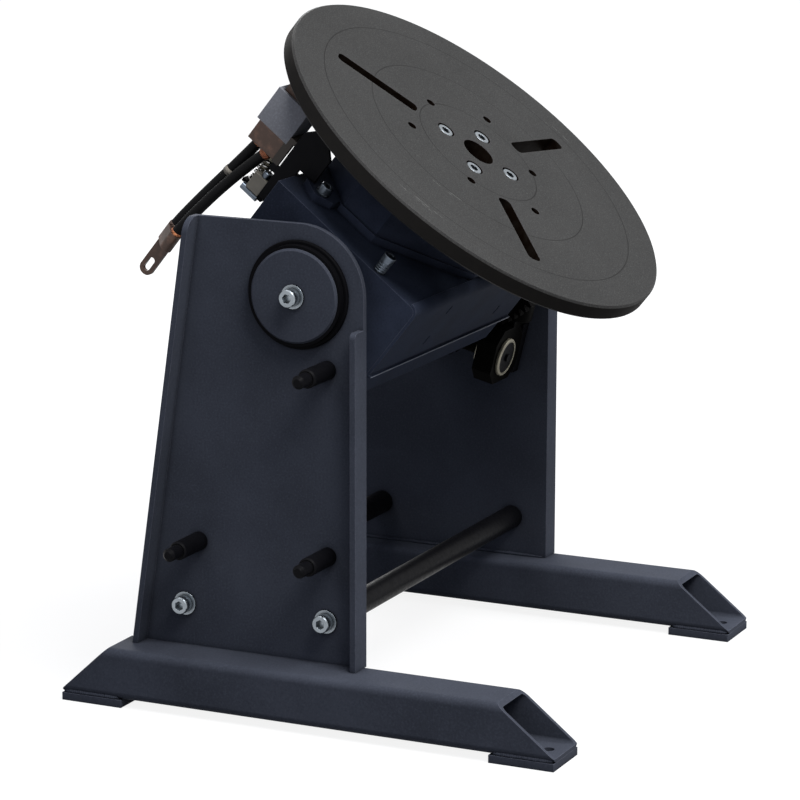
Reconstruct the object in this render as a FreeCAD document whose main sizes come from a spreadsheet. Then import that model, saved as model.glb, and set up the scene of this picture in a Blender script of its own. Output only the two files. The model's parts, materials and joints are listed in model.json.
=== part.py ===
import FreeCAD, Part
import Sketcher
import math
import os

# Welding positioner: a round slotted table on a tilting cradle between two side plates on foot beams.
# X runs along the tilt axis, -Y is the front, Z is up; the origin lies on the floor, midway between
# the four floor bolts.

doc = FreeCAD.newDocument("welding_positioner")
sheet = doc.addObject("Spreadsheet::Sheet", "Dims")

SIZES = [
    # floor stand
    ("beam_x", 242, "half distance between the middles of the two foot beams"),
    ("beam_w", 60, "foot beam tube, width"),
    ("beam_tall", 52, "foot beam tube, height"),
    ("beam_wall", 4, "foot beam tube, wall"),
    ("beam_round", 8, "foot beam tube, outer corner radius"),
    ("beam_front", 295, "front tip of the beams ahead of the tilt axis"),
    ("beam_rear", 245, "rear tip of the beams behind the tilt axis"),
    ("mitre_front", 61, "run of the slanted cut at the front end"),
    ("mitre_rear", 52, "run of the slanted cut at the rear end"),
    ("foot_t", 8, "foot plate, thickness"),
    ("foot_len", 68, "foot plate, length"),
    ("bolt_hole", 6, "floor bolt hole, radius"),
    ("bolt_edge", 18, "floor bolt hole to the beam's tip"),
    # side plates
    ("axis_z", 430, "tilt axis above the floor"),
    ("plate_t", 6, "side plate and its flanges, thickness"),
    ("left_in", 214.7, "inner face of the left side plate from the middle"),
    ("right_in", 241.8, "inner face of the right side plate from the middle"),
    ("flange_w", 25.5, "side plate flange, width with the web"),
    ("plate_nose", 70, "front edge and rounded head of the side plate from the tilt axis"),
    ("plate_back", 180.5, "rear edge of the side plate at its foot, behind the tilt axis"),
    ("plate_lean", 64, "how far the rear edge leans forward at the top"),
    ("flange_top", 400, "top of the front flange above the floor"),
    ("flange_round", 15, "rounded top corner of the rear flange"),
    ("rod_r", 12.5, "tie rod radius"),
    ("rod_z", 103, "tie rods above the floor"),
    ("rod_front", 28.7, "front tie rod ahead of the tilt axis"),
    ("rod_rear", 129.2, "rear tie rod behind the tilt axis"),
    ("screw_r", 6, "large socket screw, shank radius"),
    ("head_r", 9, "large socket screw, head radius"),
    ("head_t", 12, "large socket screw, head height"),
    ("socket_r", 5, "large socket screw, hexagon socket radius"),
    ("washer_r", 12, "large washer radius"),
    ("washer_t", 2.5, "large washer thickness"),
    ("pin_r", 9.5, "cable pin, body radius"),
    ("pin_tip_r", 6.75, "cable pin, tip radius"),
    ("pin_len", 66, "cable pin, length outside the plate"),
    ("pin_step", 46, "cable pin, length of its thick part"),
    ("pin_low", 169.5, "lower cable pins above the floor"),
    ("pin_high", 357.3, "upper cable pin above the floor"),
    ("pin_front", 30.6, "front cable pins ahead of the tilt axis"),
    ("pin_back", 113, "rear cable pin behind the tilt axis"),
    # trunnions
    ("disc_r", 47, "trunnion disc radius"),
    ("disc_proud", 12.5, "trunnion disc, height over the side plate"),
    ("bush_t", 3, "trunnion bush, wall"),
    ("bush_lip", 4, "trunnion bush, flange beyond its sleeve"),
    ("bush_proud", 3.9, "trunnion bush, flange thickness"),
    ("bush_sleeve", 10.4, "trunnion bush, height of its sleeve over the side plate"),
    ("bush_back", 4, "trunnion bush, length behind the side plate"),
    ("shaft_r", 30, "right trunnion shaft radius"),
    ("shaft_end", 58, "right trunnion shaft, length from the cheek"),
    ("collar_at", 30, "right trunnion collar, start from the cheek"),
    ("tap_deep", 30, "trunnion screw holes, depth"),
    ("running_gap", 0.05, "radial clearance of turning pieces"),
    ("seat_gap", 0.3, "end clearance beside turning pieces"),
    # cradle, in its own frame with z along the table axis and the tilt axis at zero
    ("tilt_rest", 38.5, "table face leans forward by this angle at rest"),
    ("cradle_left", 198, "outer face of the cradle's left cheek from the middle"),
    ("cradle_right", 142, "outer face of the cradle's right cheek from the middle"),
    ("cradle_front", 97, "front wall of the cradle, outer face"),
    ("cradle_back", 92, "rear wall of the cradle, outer face"),
    ("cradle_top", 62.6, "upper face of the cradle's top plate"),
    ("cradle_low", 58, "lower edge of the cradle's walls below the tilt axis"),
    ("sheet_t", 6, "cradle sheet thickness"),
    ("cradle_bend", 7, "cradle's bent front edge, radius under the cover"),
    ("cradle_round", 14, "rounded lower rear corner of the cheeks"),
    ("cover_t", 3, "front cover sheet thickness"),
    ("cover_low", 24, "lower edge of the front cover below the tilt axis"),
    ("cover_reach", 7.5, "upper leg of the front cover"),
    ("cover_lip", 2.5, "lip along the lower edge of the front cover"),
    ("cover_slot_w", 3, "front cover slots, width"),
    ("cover_slot_len", 12, "front cover slots, length"),
    ("cover_slot_row", 43, "front cover slots, distance of the rows"),
    ("base_t", 8, "housing base plate, thickness"),
    ("base_lip", 3, "housing base plate beyond the housing"),
    ("ear_side", 15, "base plate's ear beyond its screw, to the left"),
    ("ear_back", 22, "base plate's ear beyond its screw, to the rear"),
    ("ear_round", 6, "base plate's ear, corner radius"),
    ("ear_screw_x", 165, "ear screw left of the table axis"),
    ("ear_screw_v", 58, "ear screw behind the tilt axis"),
    ("corner_screw_x", 189, "standing screw left of the table axis"),
    ("corner_screw_v", 41, "standing screw ahead of the tilt axis"),
    ("base_screw_r", 4, "ear and standing screws, radius"),
    ("stand_off", 13, "height of the standing screw's head over the cradle"),
    ("shroud_left", 150, "octagonal housing, left end from the table axis"),
    ("shroud_right", 134, "octagonal housing, right end from the table axis"),
    ("shroud_v", 86, "octagonal housing, half depth"),
    ("shroud_cut", 80, "octagonal housing, front corner cut across"),
    ("shroud_nose", 55, "octagonal housing, half width of its front"),
    ("shroud_heel", 40, "octagonal housing, rear corner cut along"),
    ("shroud_heel_cut", 48, "octagonal housing, rear corner cut across"),
    ("shroud_high", 118, "octagonal housing, top above the tilt axis"),
    ("shroud_wall", 4, "octagonal housing, wall"),
    # table
    ("table_face", 148.5, "table face above the tilt axis"),
    ("table_t", 18, "table thickness"),
    ("table_r", 225, "table radius"),
    ("table_cham", 2, "table rim chamfer"),
    ("table_bore", 18, "table centre hole, radius"),
    ("slot_w", 16, "table slot width"),
    ("slot_in", 76, "inner end of the slots from the table axis"),
    ("slot_out", 172.5, "outer end of the slots from the table axis"),
    ("slot_turn", 113, "direction of the first slot"),
    ("table_pcd", 40, "table screws, circle radius"),
    ("table_screw_turn", 23, "direction of the first table screw"),
    ("tap_r", 5, "tapped hole radius"),
    ("tap_inner", 73.6, "inner tapped holes, circle radius"),
    ("tap_outer", 87.5, "outer tapped holes, circle radius"),
    ("screw_sunk", 12.5, "counterbore of the table screws, depth"),
    ("screw_deep", 20, "table screws' depth in the spindle"),
    # rotation drive under the table
    ("spindle_r", 30, "spindle radius in its bearings"),
    ("spindle_head", 58, "spindle head radius"),
    ("spindle_neck", 50, "spindle neck radius"),
    ("spindle_seat", 40, "spindle radius in its gear"),
    ("bearing_low", 14, "lower bearing's bottom above the tilt axis"),
    ("bearing_high", 54, "upper bearing's bottom above the tilt axis"),
    ("bearing_out", 45, "spindle bearing, outer radius"),
    ("bearing_t", 18, "spindle bearing, width"),
    ("bearing_ring", 5, "spindle bearing, ring thickness"),
    ("housing_r", 55, "bearing housing radius"),
    ("housing_flange", 16, "bearing housing flange beyond the housing"),
    ("housing_screw_r", 4, "bearing housing screws, radius"),
    ("rollers", 9, "rollers in each bearing"),
    ("gear_mod", 2.5, "spindle gear module"),
    ("gear_teeth", 56, "spindle gear teeth"),
    ("pinion_teeth", 16, "drive pinion teeth"),
    ("gear_t", 12, "spindle gear width"),
    ("gear_low", 76, "lower face of the spindle gear above the tilt axis"),
    ("backlash", 0.25, "tooth thickness taken off for backlash"),
    ("motor_r", 32, "rotation gear motor radius"),
    ("motor_len", 92, "rotation gear motor length"),
    ("motor_hole", 24, "hole for the rotation motor's boss, radius"),
    ("pinion_shaft", 7, "rotation motor shaft radius"),
    ("shaft_deep", 30, "rotation motor shaft, depth in the motor"),
    # tilt drive, in its own frame with y along the worm and the tilt axis at zero
    ("drive_lean", 14, "worm axis rises to the rear by this angle"),
    ("drive_x", 186, "worm axis from the middle"),
    ("wheel_mod", 2.5, "tilt wheel module"),
    ("wheel_teeth", 84, "tilt wheel teeth on the whole circle"),
    ("wheel_t", 12, "tilt wheel width"),
    ("worm_pitch_r", 15.8, "worm pitch radius"),
    ("worm_turns", 4, "worm thread turns"),
    ("worm_neck", 7, "worm shaft radius at its bearings"),
    ("hub_r", 42, "tilt wheel hub radius"),
    ("wheel_web", 88, "tilt wheel, inner radius of its rim"),
    ("wheel_screws", 37.5, "tilt wheel screws, circle radius"),
    ("wheel_screw_r", 3, "tilt wheel screws, radius"),
    ("block_y", 30, "worm bearing block behind the foot of the axis"),
    ("block_t", 12, "worm bearing block, thickness"),
    ("block_half", 11.5, "worm bearing block, half width"),
    ("box_front", 77, "front face of the worm gearbox from the foot of the axis"),
    ("box_t", 30, "worm gearbox thickness"),
    ("box_left", 28, "worm gearbox, left side from the worm axis"),
    ("box_right", 41, "worm gearbox, right side from the worm axis"),
    ("box_low", 29.5, "worm gearbox, bottom below the worm axis"),
    ("box_high", 31.5, "worm gearbox, top above the worm axis"),
    ("box_cham", 14, "worm gearbox, corner cut"),
    ("ring_r", 21, "machined ring on the gearbox, radius"),
    ("ring_in", 17.5, "machined ring on the gearbox, inner radius"),
    ("ring_t", 3.5, "machined ring on the gearbox, thickness"),
    ("ring_deep", 2.5, "recess inside the machined ring"),
    ("sleeve_r", 16, "output sleeve radius in the gearbox"),
    ("cap_t", 1.8, "shaft end cap, thickness"),
    ("end_screw_r", 2.5, "shaft end screw, radius"),
    ("tilt_motor_x", 215, "tilt motor axis from the middle"),
    ("tilt_motor_r", 21, "tilt motor radius"),
    ("tilt_motor_len", 84, "tilt motor length"),
    ("motor_flange", 6, "tilt motor flange, thickness"),
    # earth contact under the table's rim, in the cradle's frame
    ("earth_in", 62, "left face of the earth contact inside the table's rim"),
    ("earth_v", 118.5, "near edge of the earth contact behind the tilt axis"),
    ("earth_w", 40.5, "earth contact width"),
    ("earth_deep", 34, "earth contact depth along X"),
    ("earth_gap", 10, "cover below the table's back"),
    ("earth_cover", 40, "earth contact cover, height"),
    ("earth_sheet", 2, "earth contact cover, sheet"),
    ("plate_gap", 8, "earth bracket's plate to the cover"),
    ("bracket_t", 5, "earth bracket, plate thickness"),
    ("gusset_t", 4, "earth bracket, gusset and strip thickness"),
    ("slit_w", 2, "slit between the gusset and the insulating strip"),
    ("holder_t", 22, "copper holder, height"),
    ("holder_w", 34, "copper holder, width"),
    ("holder_set", 2.5, "copper holder behind the cover's near edge"),
    ("earth_foot", 13.6, "earth bracket's foot above the tilt axis"),
    ("brush_r", 5, "brush rod radius"),
    ("brush_gap", 0.3, "brush clearance in its cover and holder"),
    ("clamp_w", 16, "clamp block, width"),
    ("clamp_deep", 14, "clamp block, depth along X"),
    ("clamp_t", 19, "clamp block, height"),
    ("clamp_screw_r", 3, "clamp screw radius"),
    ("clamp_pin_r", 4, "clamp pin radius"),
    ("lead_r", 5.7, "earth lead radius"),
    ("lead_near", 6, "near lead behind the earth contact's left face"),
    ("lead_far", 17, "far lead behind the earth contact's left face"),
    ("lug_top", 77, "cable lug's top below the tilt axis"),
    ("lug_entry", 8, "straight end of the leads above the cable lug"),
    ("lead_over", 3, "length that a lead's end is trimmed by, to meet the lug squarely"),
    ("lug_barrel", 20, "cable lug's barrel, length"),
    ("lug_tongue", 40, "cable lug's tongue, length"),
    ("lug_w", 16, "cable lug's tongue, width"),
    ("lug_t", 4, "cable lug's tongue, thickness"),
    ("lug_wall", 1, "cable lug's barrel around the leads"),
    ("eye_w", 7, "cable lug's eye, width"),
    ("eye_len", 16, "cable lug's eye, length"),
]

for row, (alias, value, note) in enumerate(SIZES, start=1):
    sheet.set("A%d" % row, note)
    sheet.set("B%d" % row, str(value))
    sheet.setAlias("B%d" % row, alias)
doc.recompute()


class Size:
    """A size that knows its number and the sheet expression it comes from."""

    def __init__(self, number, text):
        self.number = float(number)
        self.text = text

    def __add__(self, other):
        other = as_size(other)
        return Size(self.number + other.number, "(%s + %s)" % (self.text, other.text))

    __radd__ = __add__

    def __sub__(self, other):
        other = as_size(other)
        return Size(self.number - other.number, "(%s - %s)" % (self.text, other.text))

    def __rsub__(self, other):
        return as_size(other) - self

    def __mul__(self, other):
        other = as_size(other)
        return Size(self.number * other.number, "(%s * %s)" % (self.text, other.text))

    __rmul__ = __mul__

    def __truediv__(self, other):
        other = as_size(other)
        return Size(self.number / other.number, "(%s / %s)" % (self.text, other.text))

    def __neg__(self):
        return Size(-self.number, "(-1 * %s)" % self.text)


def as_size(value):
    return value if isinstance(value, Size) else Size(value, repr(float(value)))


class Sizes:
    """Every alias of the sheet as an attribute."""


D = Sizes()
for alias, value, note in SIZES:
    setattr(D, alias, Size(value, "Dims." + alias))


def sine(angle):
    return Size(math.sin(math.radians(angle.number)), "sin(%s)" % angle.text)


def cosine(angle):
    return Size(math.cos(math.radians(angle.number)), "cos(%s)" % angle.text)


def bind(obj, prop, size):
    size = as_size(size)
    obj.setExpression(prop, size.text)


# Ways to turn a piece: from upright onto another axis
UPRIGHT = FreeCAD.Rotation()
ALONG_X = FreeCAD.Rotation(FreeCAD.Vector(0, 1, 0), 90)
ALONG_MINUS_X = FreeCAD.Rotation(FreeCAD.Vector(0, 1, 0), -90)
ALONG_Y = FreeCAD.Rotation(FreeCAD.Vector(1, 0, 0), -90)
ALONG_MINUS_Y = FreeCAD.Rotation(FreeCAD.Vector(1, 0, 0), 90)
DOWNWARD = FreeCAD.Rotation(FreeCAD.Vector(1, 0, 0), 180)


def place(obj, at=(0, 0, 0), turn=UPRIGHT):
    at = [as_size(value) for value in at]
    obj.Placement = FreeCAD.Placement(FreeCAD.Vector(*[value.number for value in at]), turn)
    for axis, value in zip("xyz", at):
        bind(obj, "Placement.Base." + axis, value)
    return obj


def box(low, size):
    piece = doc.addObject("Part::Box", "Box")
    for prop, value in zip(("Length", "Width", "Height"), size):
        bind(piece, prop, value)
    return place(piece, low)


def rod(radius, length, at=(0, 0, 0), turn=UPRIGHT):
    piece = doc.addObject("Part::Cylinder", "Cylinder")
    bind(piece, "Radius", radius)
    bind(piece, "Height", length)
    return place(piece, at, turn)


def prism(sides, radius, length, at=(0, 0, 0), turn=UPRIGHT):
    piece = doc.addObject("Part::Prism", "Prism")
    piece.Polygon = sides
    bind(piece, "Circumradius", radius)
    bind(piece, "Height", length)
    return place(piece, at, turn)


def fuse(*pieces):
    whole = doc.addObject("Part::MultiFuse", "Fusion")
    whole.Shapes = list(pieces)
    return whole


def cut(base, *tools):
    tool = tools[0]
    if len(tools) > 1:
        tool = doc.addObject("Part::Compound", "Tools")
        tool.Links = list(tools)
    whole = doc.addObject("Part::Cut", "Cut")
    whole.Base = base
    whole.Tool = tool
    return whole


def common(first, second):
    whole = doc.addObject("Part::Common", "Common")
    whole.Base = first
    whole.Tool = second
    return whole


def ring(outer, inner, length, at=(0, 0, 0), turn=UPRIGHT):
    return place(cut(rod(outer, length), rod(inner, length)), at, turn)


PLANES = {"xy": "XY_Plane", "xz": "XZ_Plane", "yz": "YZ_Plane"}


def new_sketch(body, plane, offset=0):
    """A sketch on one of the body's own origin planes: XZ looks along +Y, so its offset runs to -Y."""
    sketch = body.newObject("Sketcher::SketchObject", "Sketch")
    role = PLANES[plane]
    support = [item for item in body.Origin.OriginFeatures if item.Role == role][0]
    sketch.AttachmentSupport = [(support, "")]
    sketch.MapMode = "FlatFace"
    offset = as_size(offset)
    sketch.AttachmentOffset = FreeCAD.Placement(FreeCAD.Vector(0, 0, offset.number), FreeCAD.Rotation())
    bind(sketch, "AttachmentOffset.Base.z", offset)
    return sketch


def hold(sketch, geometry, point, x, y):
    """Ties one point of the sketch to the origin by two named distances."""
    for kind, value in (("DistanceX", x), ("DistanceY", y)):
        value = as_size(value)
        index = sketch.addConstraint(Sketcher.Constraint(kind, -1, 1, geometry, point, value.number))
        bind(sketch, "Constraints[%d]" % index, value)


def outline(sketch, corners):
    """A closed outline through corners (x, y) or (x, y, radius)."""
    spots = [FreeCAD.Vector(as_size(c[0]).number, as_size(c[1]).number, 0) for c in corners]
    radii = [as_size(c[2]) if len(c) > 2 else None for c in corners]
    count = len(corners)
    ends = []
    for i in range(count):
        here = spots[i]
        if radii[i] is None:
            ends.append((here, here))
            continue
        back = (spots[i - 1] - here).normalize()
        ahead = (spots[(i + 1) % count] - here).normalize()
        reach = radii[i].number / math.tan(back.getAngle(ahead) / 2)
        ends.append((here + back * reach, here + ahead * reach))
    lines = []
    for i in range(count):
        lines.append(sketch.addGeometry(Part.LineSegment(ends[i][1], ends[(i + 1) % count][0]), False))
    for i in range(count):
        before = lines[i - 1]
        after = lines[i]
        if radii[i] is None:
            sketch.addConstraint(Sketcher.Constraint("Coincident", before, 2, after, 1))
            hold(sketch, after, 1, corners[i][0], corners[i][1])
            continue
        start, stop = ends[i]
        middle = (start + stop) * 0.5
        inward = (middle - spots[i]).normalize()
        centre = spots[i] + inward * math.hypot(radii[i].number, (start - spots[i]).Length)
        first = math.atan2(start.y - centre.y, start.x - centre.x)
        last = math.atan2(stop.y - centre.y, stop.x - centre.x)
        forward = (last - first) % (2 * math.pi) < math.pi
        circle = Part.Circle(centre, FreeCAD.Vector(0, 0, 1), radii[i].number)
        sweep = (first, last) if forward else (last, first)
        arc = sketch.addGeometry(Part.ArcOfCircle(circle, *sweep), False)
        sketch.addConstraint(Sketcher.Constraint("Tangent", before, 2, arc, 1 if forward else 2))
        sketch.addConstraint(Sketcher.Constraint("Tangent", after, 1, arc, 2 if forward else 1))
        index = sketch.addConstraint(Sketcher.Constraint("Radius", arc, radii[i].number))
        bind(sketch, "Constraints[%d]" % index, radii[i])
        corner = sketch.addGeometry(Part.Point(spots[i]), True)
        hold(sketch, corner, 1, corners[i][0], corners[i][1])
        sketch.addConstraint(Sketcher.Constraint("PointOnObject", corner, 1, before))
        sketch.addConstraint(Sketcher.Constraint("PointOnObject", corner, 1, after))


def pad(plane, corners, start, length):
    """A body with one outline padded from start by length along the plane's normal."""
    body = doc.addObject("PartDesign::Body", "Body")
    sketch = new_sketch(body, plane, start)
    outline(sketch, corners)
    feature = body.newObject("PartDesign::Pad", "Pad")
    feature.Profile = sketch
    bind(feature, "Length", length)
    return body


def lathe(corners, at=(0, 0, 0), turn=UPRIGHT):
    """A body turned about Z from an outline of (radius, height) corners."""
    body = doc.addObject("PartDesign::Body", "Body")
    sketch = new_sketch(body, "xz")
    outline(sketch, corners)
    feature = body.newObject("PartDesign::Revolution", "Revolution")
    feature.Profile = sketch
    feature.ReferenceAxis = (sketch, ["V_Axis"])
    feature.Angle = 360
    return place(body, at, turn)


nodes = {}


def node(label, *pieces, frame="stand"):
    """One named sub-part in the stand's, the cradle's or the tilt drive's frame."""
    whole = doc.addObject("Part::Compound", "Node")
    whole.Links = list(pieces)
    whole.Label = label
    if frame == "stand":
        place(whole)
    else:
        lean = D.tilt_rest if frame == "cradle" else D.drive_lean
        turn = FreeCAD.Rotation(FreeCAD.Vector(1, 0, 0), lean.number)
        place(whole, (0, axis_y, D.axis_z), turn)
        bind(whole, "Placement.Rotation.Angle", lean)
    nodes[label] = whole
    return whole


def socket_screw(radius, head_radius, head_height, socket, shank, at, turn):
    """A socket head cap screw, its head's seat at the given place and its shank behind it."""
    blank = lathe([
        (0, -shank), (radius, -shank), (radius, 0), (head_radius, 0),
        (head_radius, head_height - head_height / 12), (head_radius - head_height / 12, head_height),
        (0, head_height)])
    hexagon = prism(6, socket, head_height / 2, (0, 0, head_height / 2))
    return place(cut(blank, hexagon), at, turn)


def hexagon_screw(radius, across, head_height, shank, at, turn):
    """A hexagon head screw, its head's seat at the given place and its shank behind it."""
    head = prism(6, across, head_height)
    return place(fuse(head, rod(radius, shank, (0, 0, -shank))), at, turn)


# Places that several pieces share
beam_top = D.foot_t + D.beam_tall
axis_y = (D.beam_front - D.beam_rear) / 2
left_out = D.left_in + D.plate_t
right_out = D.right_in + D.plate_t
bush_bore = D.disc_r + D.running_gap
web_bore = bush_bore + D.bush_t
top_low = D.cradle_top - D.sheet_t
base_top = D.cradle_top + D.base_t
table_back = D.table_face - D.table_t


def foot_beam(side, label):
    """A rectangular tube with slanted open ends, its floor bolt holes in the bottom wall."""
    middle = side * D.beam_x
    half = D.beam_w / 2
    front = axis_y - D.beam_front
    rear = axis_y + D.beam_rear
    outer = pad("xz", [
        (middle - half, D.foot_t, D.beam_round), (middle + half, D.foot_t, D.beam_round),
        (middle + half, beam_top, D.beam_round), (middle - half, beam_top, D.beam_round)],
        -rear, D.beam_front + D.beam_rear)
    inner_half = half - D.beam_wall
    inner_round = D.beam_round - D.beam_wall
    low = D.foot_t + D.beam_wall
    high = beam_top - D.beam_wall
    inner = pad("xz", [
        (middle - inner_half, low, inner_round), (middle + inner_half, low, inner_round),
        (middle + inner_half, high, inner_round), (middle - inner_half, high, inner_round)],
        -rear - 1, D.beam_front + D.beam_rear + 2)
    toe = 4.0
    wedge_front = pad("yz", [
        (front - 2, D.foot_t + toe), (front, D.foot_t + toe), (front + D.mitre_front, beam_top),
        (front + D.mitre_front, beam_top + 2), (front - 2, beam_top + 2)],
        middle - D.beam_w, D.beam_w * 2)
    wedge_rear = pad("yz", [
        (rear + 2, D.foot_t + toe), (rear, D.foot_t + toe), (rear - D.mitre_rear, beam_top),
        (rear - D.mitre_rear, beam_top + 2), (rear + 2, beam_top + 2)],
        middle - D.beam_w, D.beam_w * 2)
    holes = [rod(D.bolt_hole, low + 1, (middle, y, 0)) for y in
             (front + D.bolt_edge, rear - D.bolt_edge)]
    node(label, cut(outer, inner, wedge_front, wedge_rear, *holes))


def foot_plates(side, label):
    """The two flat plates welded under one beam's ends."""
    middle = side * D.beam_x
    plates = []
    for low, hole in (
            (axis_y - D.beam_front, axis_y - D.beam_front + D.bolt_edge),
            (axis_y + D.beam_rear - D.foot_len, axis_y + D.beam_rear - D.bolt_edge)):
        plate = box((middle - D.beam_w / 2, low, 0), (D.beam_w, D.foot_len, D.foot_t))
        plates.append(cut(plate, rod(D.bolt_hole, D.foot_t, (middle, hole, 0))))
    node(label, *plates)


pin_spots = [
    (axis_y + D.pin_back, D.pin_low),
    (axis_y - D.pin_front, D.pin_low),
    (axis_y - D.pin_front, D.pin_high),
]
rod_spots = [(axis_y - D.rod_front, D.rod_z), (axis_y + D.rod_rear, D.rod_z)]
drive_c = cosine(D.drive_lean)
drive_s = sine(D.drive_lean)
wheel_r = D.wheel_mod * D.wheel_teeth / 2
worm_z = -wheel_r - D.worm_pitch_r
box_back = -D.box_front + D.box_t
drive_screw_r = D.screw_r - 2
drive_screw_spots = [
    (box_back - D.box_t / 2, worm_z - 17), (box_back - D.box_t / 2, worm_z + 17),
    (D.block_y + D.block_t / 2, worm_z - 16), (D.block_y + D.block_t / 2, worm_z + 16)]


def side_plate(side, inner, label):
    """A web with a leaning rear flange and a shorter upright front flange, both turned outward."""
    near = side * inner
    far = side * (inner + D.flange_w)
    web_low = near if side > 0 else near - D.plate_t
    flange_low = near if side > 0 else far
    front = axis_y - D.plate_nose
    back_foot = axis_y + D.plate_back
    back_head = back_foot - D.plate_lean
    head = D.axis_z + D.plate_nose
    web = pad("yz", [
        (front, beam_top), (back_foot, beam_top), (back_head, head),
        (front, head, D.plate_nose)], web_low, D.plate_t)
    front_flange = pad("xz", [
        (near, beam_top), (far, beam_top), (far, D.flange_top, D.plate_t), (near, D.flange_top)],
        -front - D.plate_t, D.plate_t)
    strip = pad("yz", [
        (back_foot - D.plate_t, beam_top), (back_foot, beam_top), (back_head, head),
        (back_head - D.plate_t, head)], flange_low, D.flange_w)
    face = pad("xz", [
        (near, beam_top), (far, beam_top), (far, head, D.flange_round), (near, head)],
        -back_foot - 1, D.plate_lean + D.plate_t * 3)
    whole = fuse(web, front_flange, common(strip, face))
    through = D.plate_t + 2
    at_x = web_low - 1
    holes = [rod(web_bore, through, (at_x, axis_y, D.axis_z), ALONG_X)]
    for y, z in rod_spots:
        holes.append(rod(D.screw_r, through, (at_x, y, z), ALONG_X))
    if side < 0:
        for y, z in pin_spots:
            holes.append(rod(D.screw_r, through, (at_x, y, z), ALONG_X))
    else:
        for y, z in drive_screw_spots:
            world_y = axis_y + y * drive_c - z * drive_s
            world_z = D.axis_z + y * drive_s + z * drive_c
            holes.append(rod(drive_screw_r, through, (at_x, world_y, world_z), ALONG_X))
    node(label, cut(whole, *holes))


def turned(at_x, side, corners):
    """A piece turned about the tilt axis, its profile (radius, distance outward) from at_x."""
    return lathe(corners, (at_x, 0, 0), ALONG_X if side > 0 else ALONG_MINUS_X)


def bush(side, inner, label):
    """A flanged plastic sleeve in the side plate's bore."""
    seat = D.plate_t + D.bush_back
    flange = web_bore + D.bush_lip
    body = turned(side * (inner - D.bush_back), side, [
        (bush_bore, 0), (web_bore, 0), (web_bore, seat), (flange, seat),
        (flange, seat + D.bush_proud - 1), (flange - 1, seat + D.bush_proud),
        (web_bore, seat + D.bush_proud), (web_bore, seat + D.bush_sleeve),
        (bush_bore, seat + D.bush_sleeve)])
    holder = doc.addObject("Part::Compound", "Placed")
    holder.Links = [body]
    place(holder, (0, axis_y, D.axis_z))
    node(label, holder)


for side, name in ((-1, "left"), (1, "right")):
    foot_beam(side, name + "_beam")
    foot_plates(side, name + "_foot_plates")
side_plate(-1, D.left_in, "left_side_plate")
side_plate(1, D.right_in, "right_side_plate")
bush(-1, D.left_in, "left_bush")
bush(1, D.right_in, "right_bush")


def tie_rod(spot, label):
    """A round bar between the side plates, tapped at both ends."""
    y, z = spot
    deep = Size(26, "26")
    low = -D.left_in
    bar = rod(D.rod_r, D.left_in + D.right_in, (low, y, z), ALONG_X)
    taps = [rod(D.screw_r, deep, (low, y, z), ALONG_X),
            rod(D.screw_r, deep, (D.right_in - deep, y, z), ALONG_X)]
    node(label, cut(bar, *taps))


tie_rod(rod_spots[0], "front_tie_rod")
tie_rod(rod_spots[1], "rear_tie_rod")

screws = []
washers = []
shank = D.washer_t + D.plate_t + 25
for y, z in rod_spots:
    for side, out, turn in ((-1, left_out, ALONG_MINUS_X), (1, right_out, ALONG_X)):
        screws.append(socket_screw(D.screw_r, D.head_r, D.head_t, D.socket_r, shank,
                                   (side * (out + D.washer_t), y, z), turn))
        washers.append(ring(D.washer_r, D.screw_r, D.washer_t, (side * out, y, z), turn))
node("tie_rod_screws", *screws)
node("tie_rod_washers", *washers)

pins = []
for y, z in pin_spots:
    pins.append(lathe([
        (0, -D.plate_t), (D.screw_r, -D.plate_t), (D.screw_r, 0), (D.pin_r, 0),
        (D.pin_r, D.pin_step - 1.5), (D.pin_r - 1.5, D.pin_step), (D.pin_tip_r, D.pin_step),
        (D.pin_tip_r, D.pin_len - 3), (D.pin_tip_r - 3, D.pin_len), (0, D.pin_len)],
        (-left_out, y, z), ALONG_MINUS_X))
node("cable_pins", *pins)

# The cradle's trunnions, turned about the tilt axis
left_gap = left_out + D.disc_proud
left_disc = left_gap - D.cradle_left
left_trunnion = turned(-D.cradle_left, -1, [
    (D.screw_r, left_disc - D.tap_deep), (D.screw_r, left_disc), (D.disc_r - 2, left_disc),
    (D.disc_r, left_disc - 2), (D.disc_r, D.sheet_t), (D.disc_r + 9, D.sheet_t), (D.disc_r + 9, 0),
    (0, 0), (0, left_disc - D.tap_deep)])
node("left_trunnion", left_trunnion, frame="cradle")

wheel_at = D.drive_x - D.wheel_t / 2
collar_end = wheel_at - D.cradle_right
right_trunnion = turned(D.cradle_right, 1, [
    (0, 0), (D.disc_r + 3, 0), (D.disc_r + 3, 8), (D.shaft_r, 8), (D.shaft_r, D.collar_at),
    (D.disc_r - 2, D.collar_at), (D.disc_r - 2, collar_end), (D.shaft_r, collar_end),
    (D.shaft_r, D.shaft_end), (D.screw_r, D.shaft_end), (D.screw_r, D.shaft_end - D.tap_deep),
    (0, D.shaft_end - D.tap_deep)])
node("right_trunnion", right_trunnion, frame="cradle")

right_face = right_out + D.disc_proud
disc_from = D.cradle_right + D.shaft_end
disc_long = right_face - disc_from
node("right_trunnion_disc", turned(disc_from, 1, [
    (D.screw_r, 0), (D.disc_r, 0), (D.disc_r, disc_long - 2), (D.disc_r - 2, disc_long),
    (D.screw_r, disc_long)]), frame="cradle")

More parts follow.
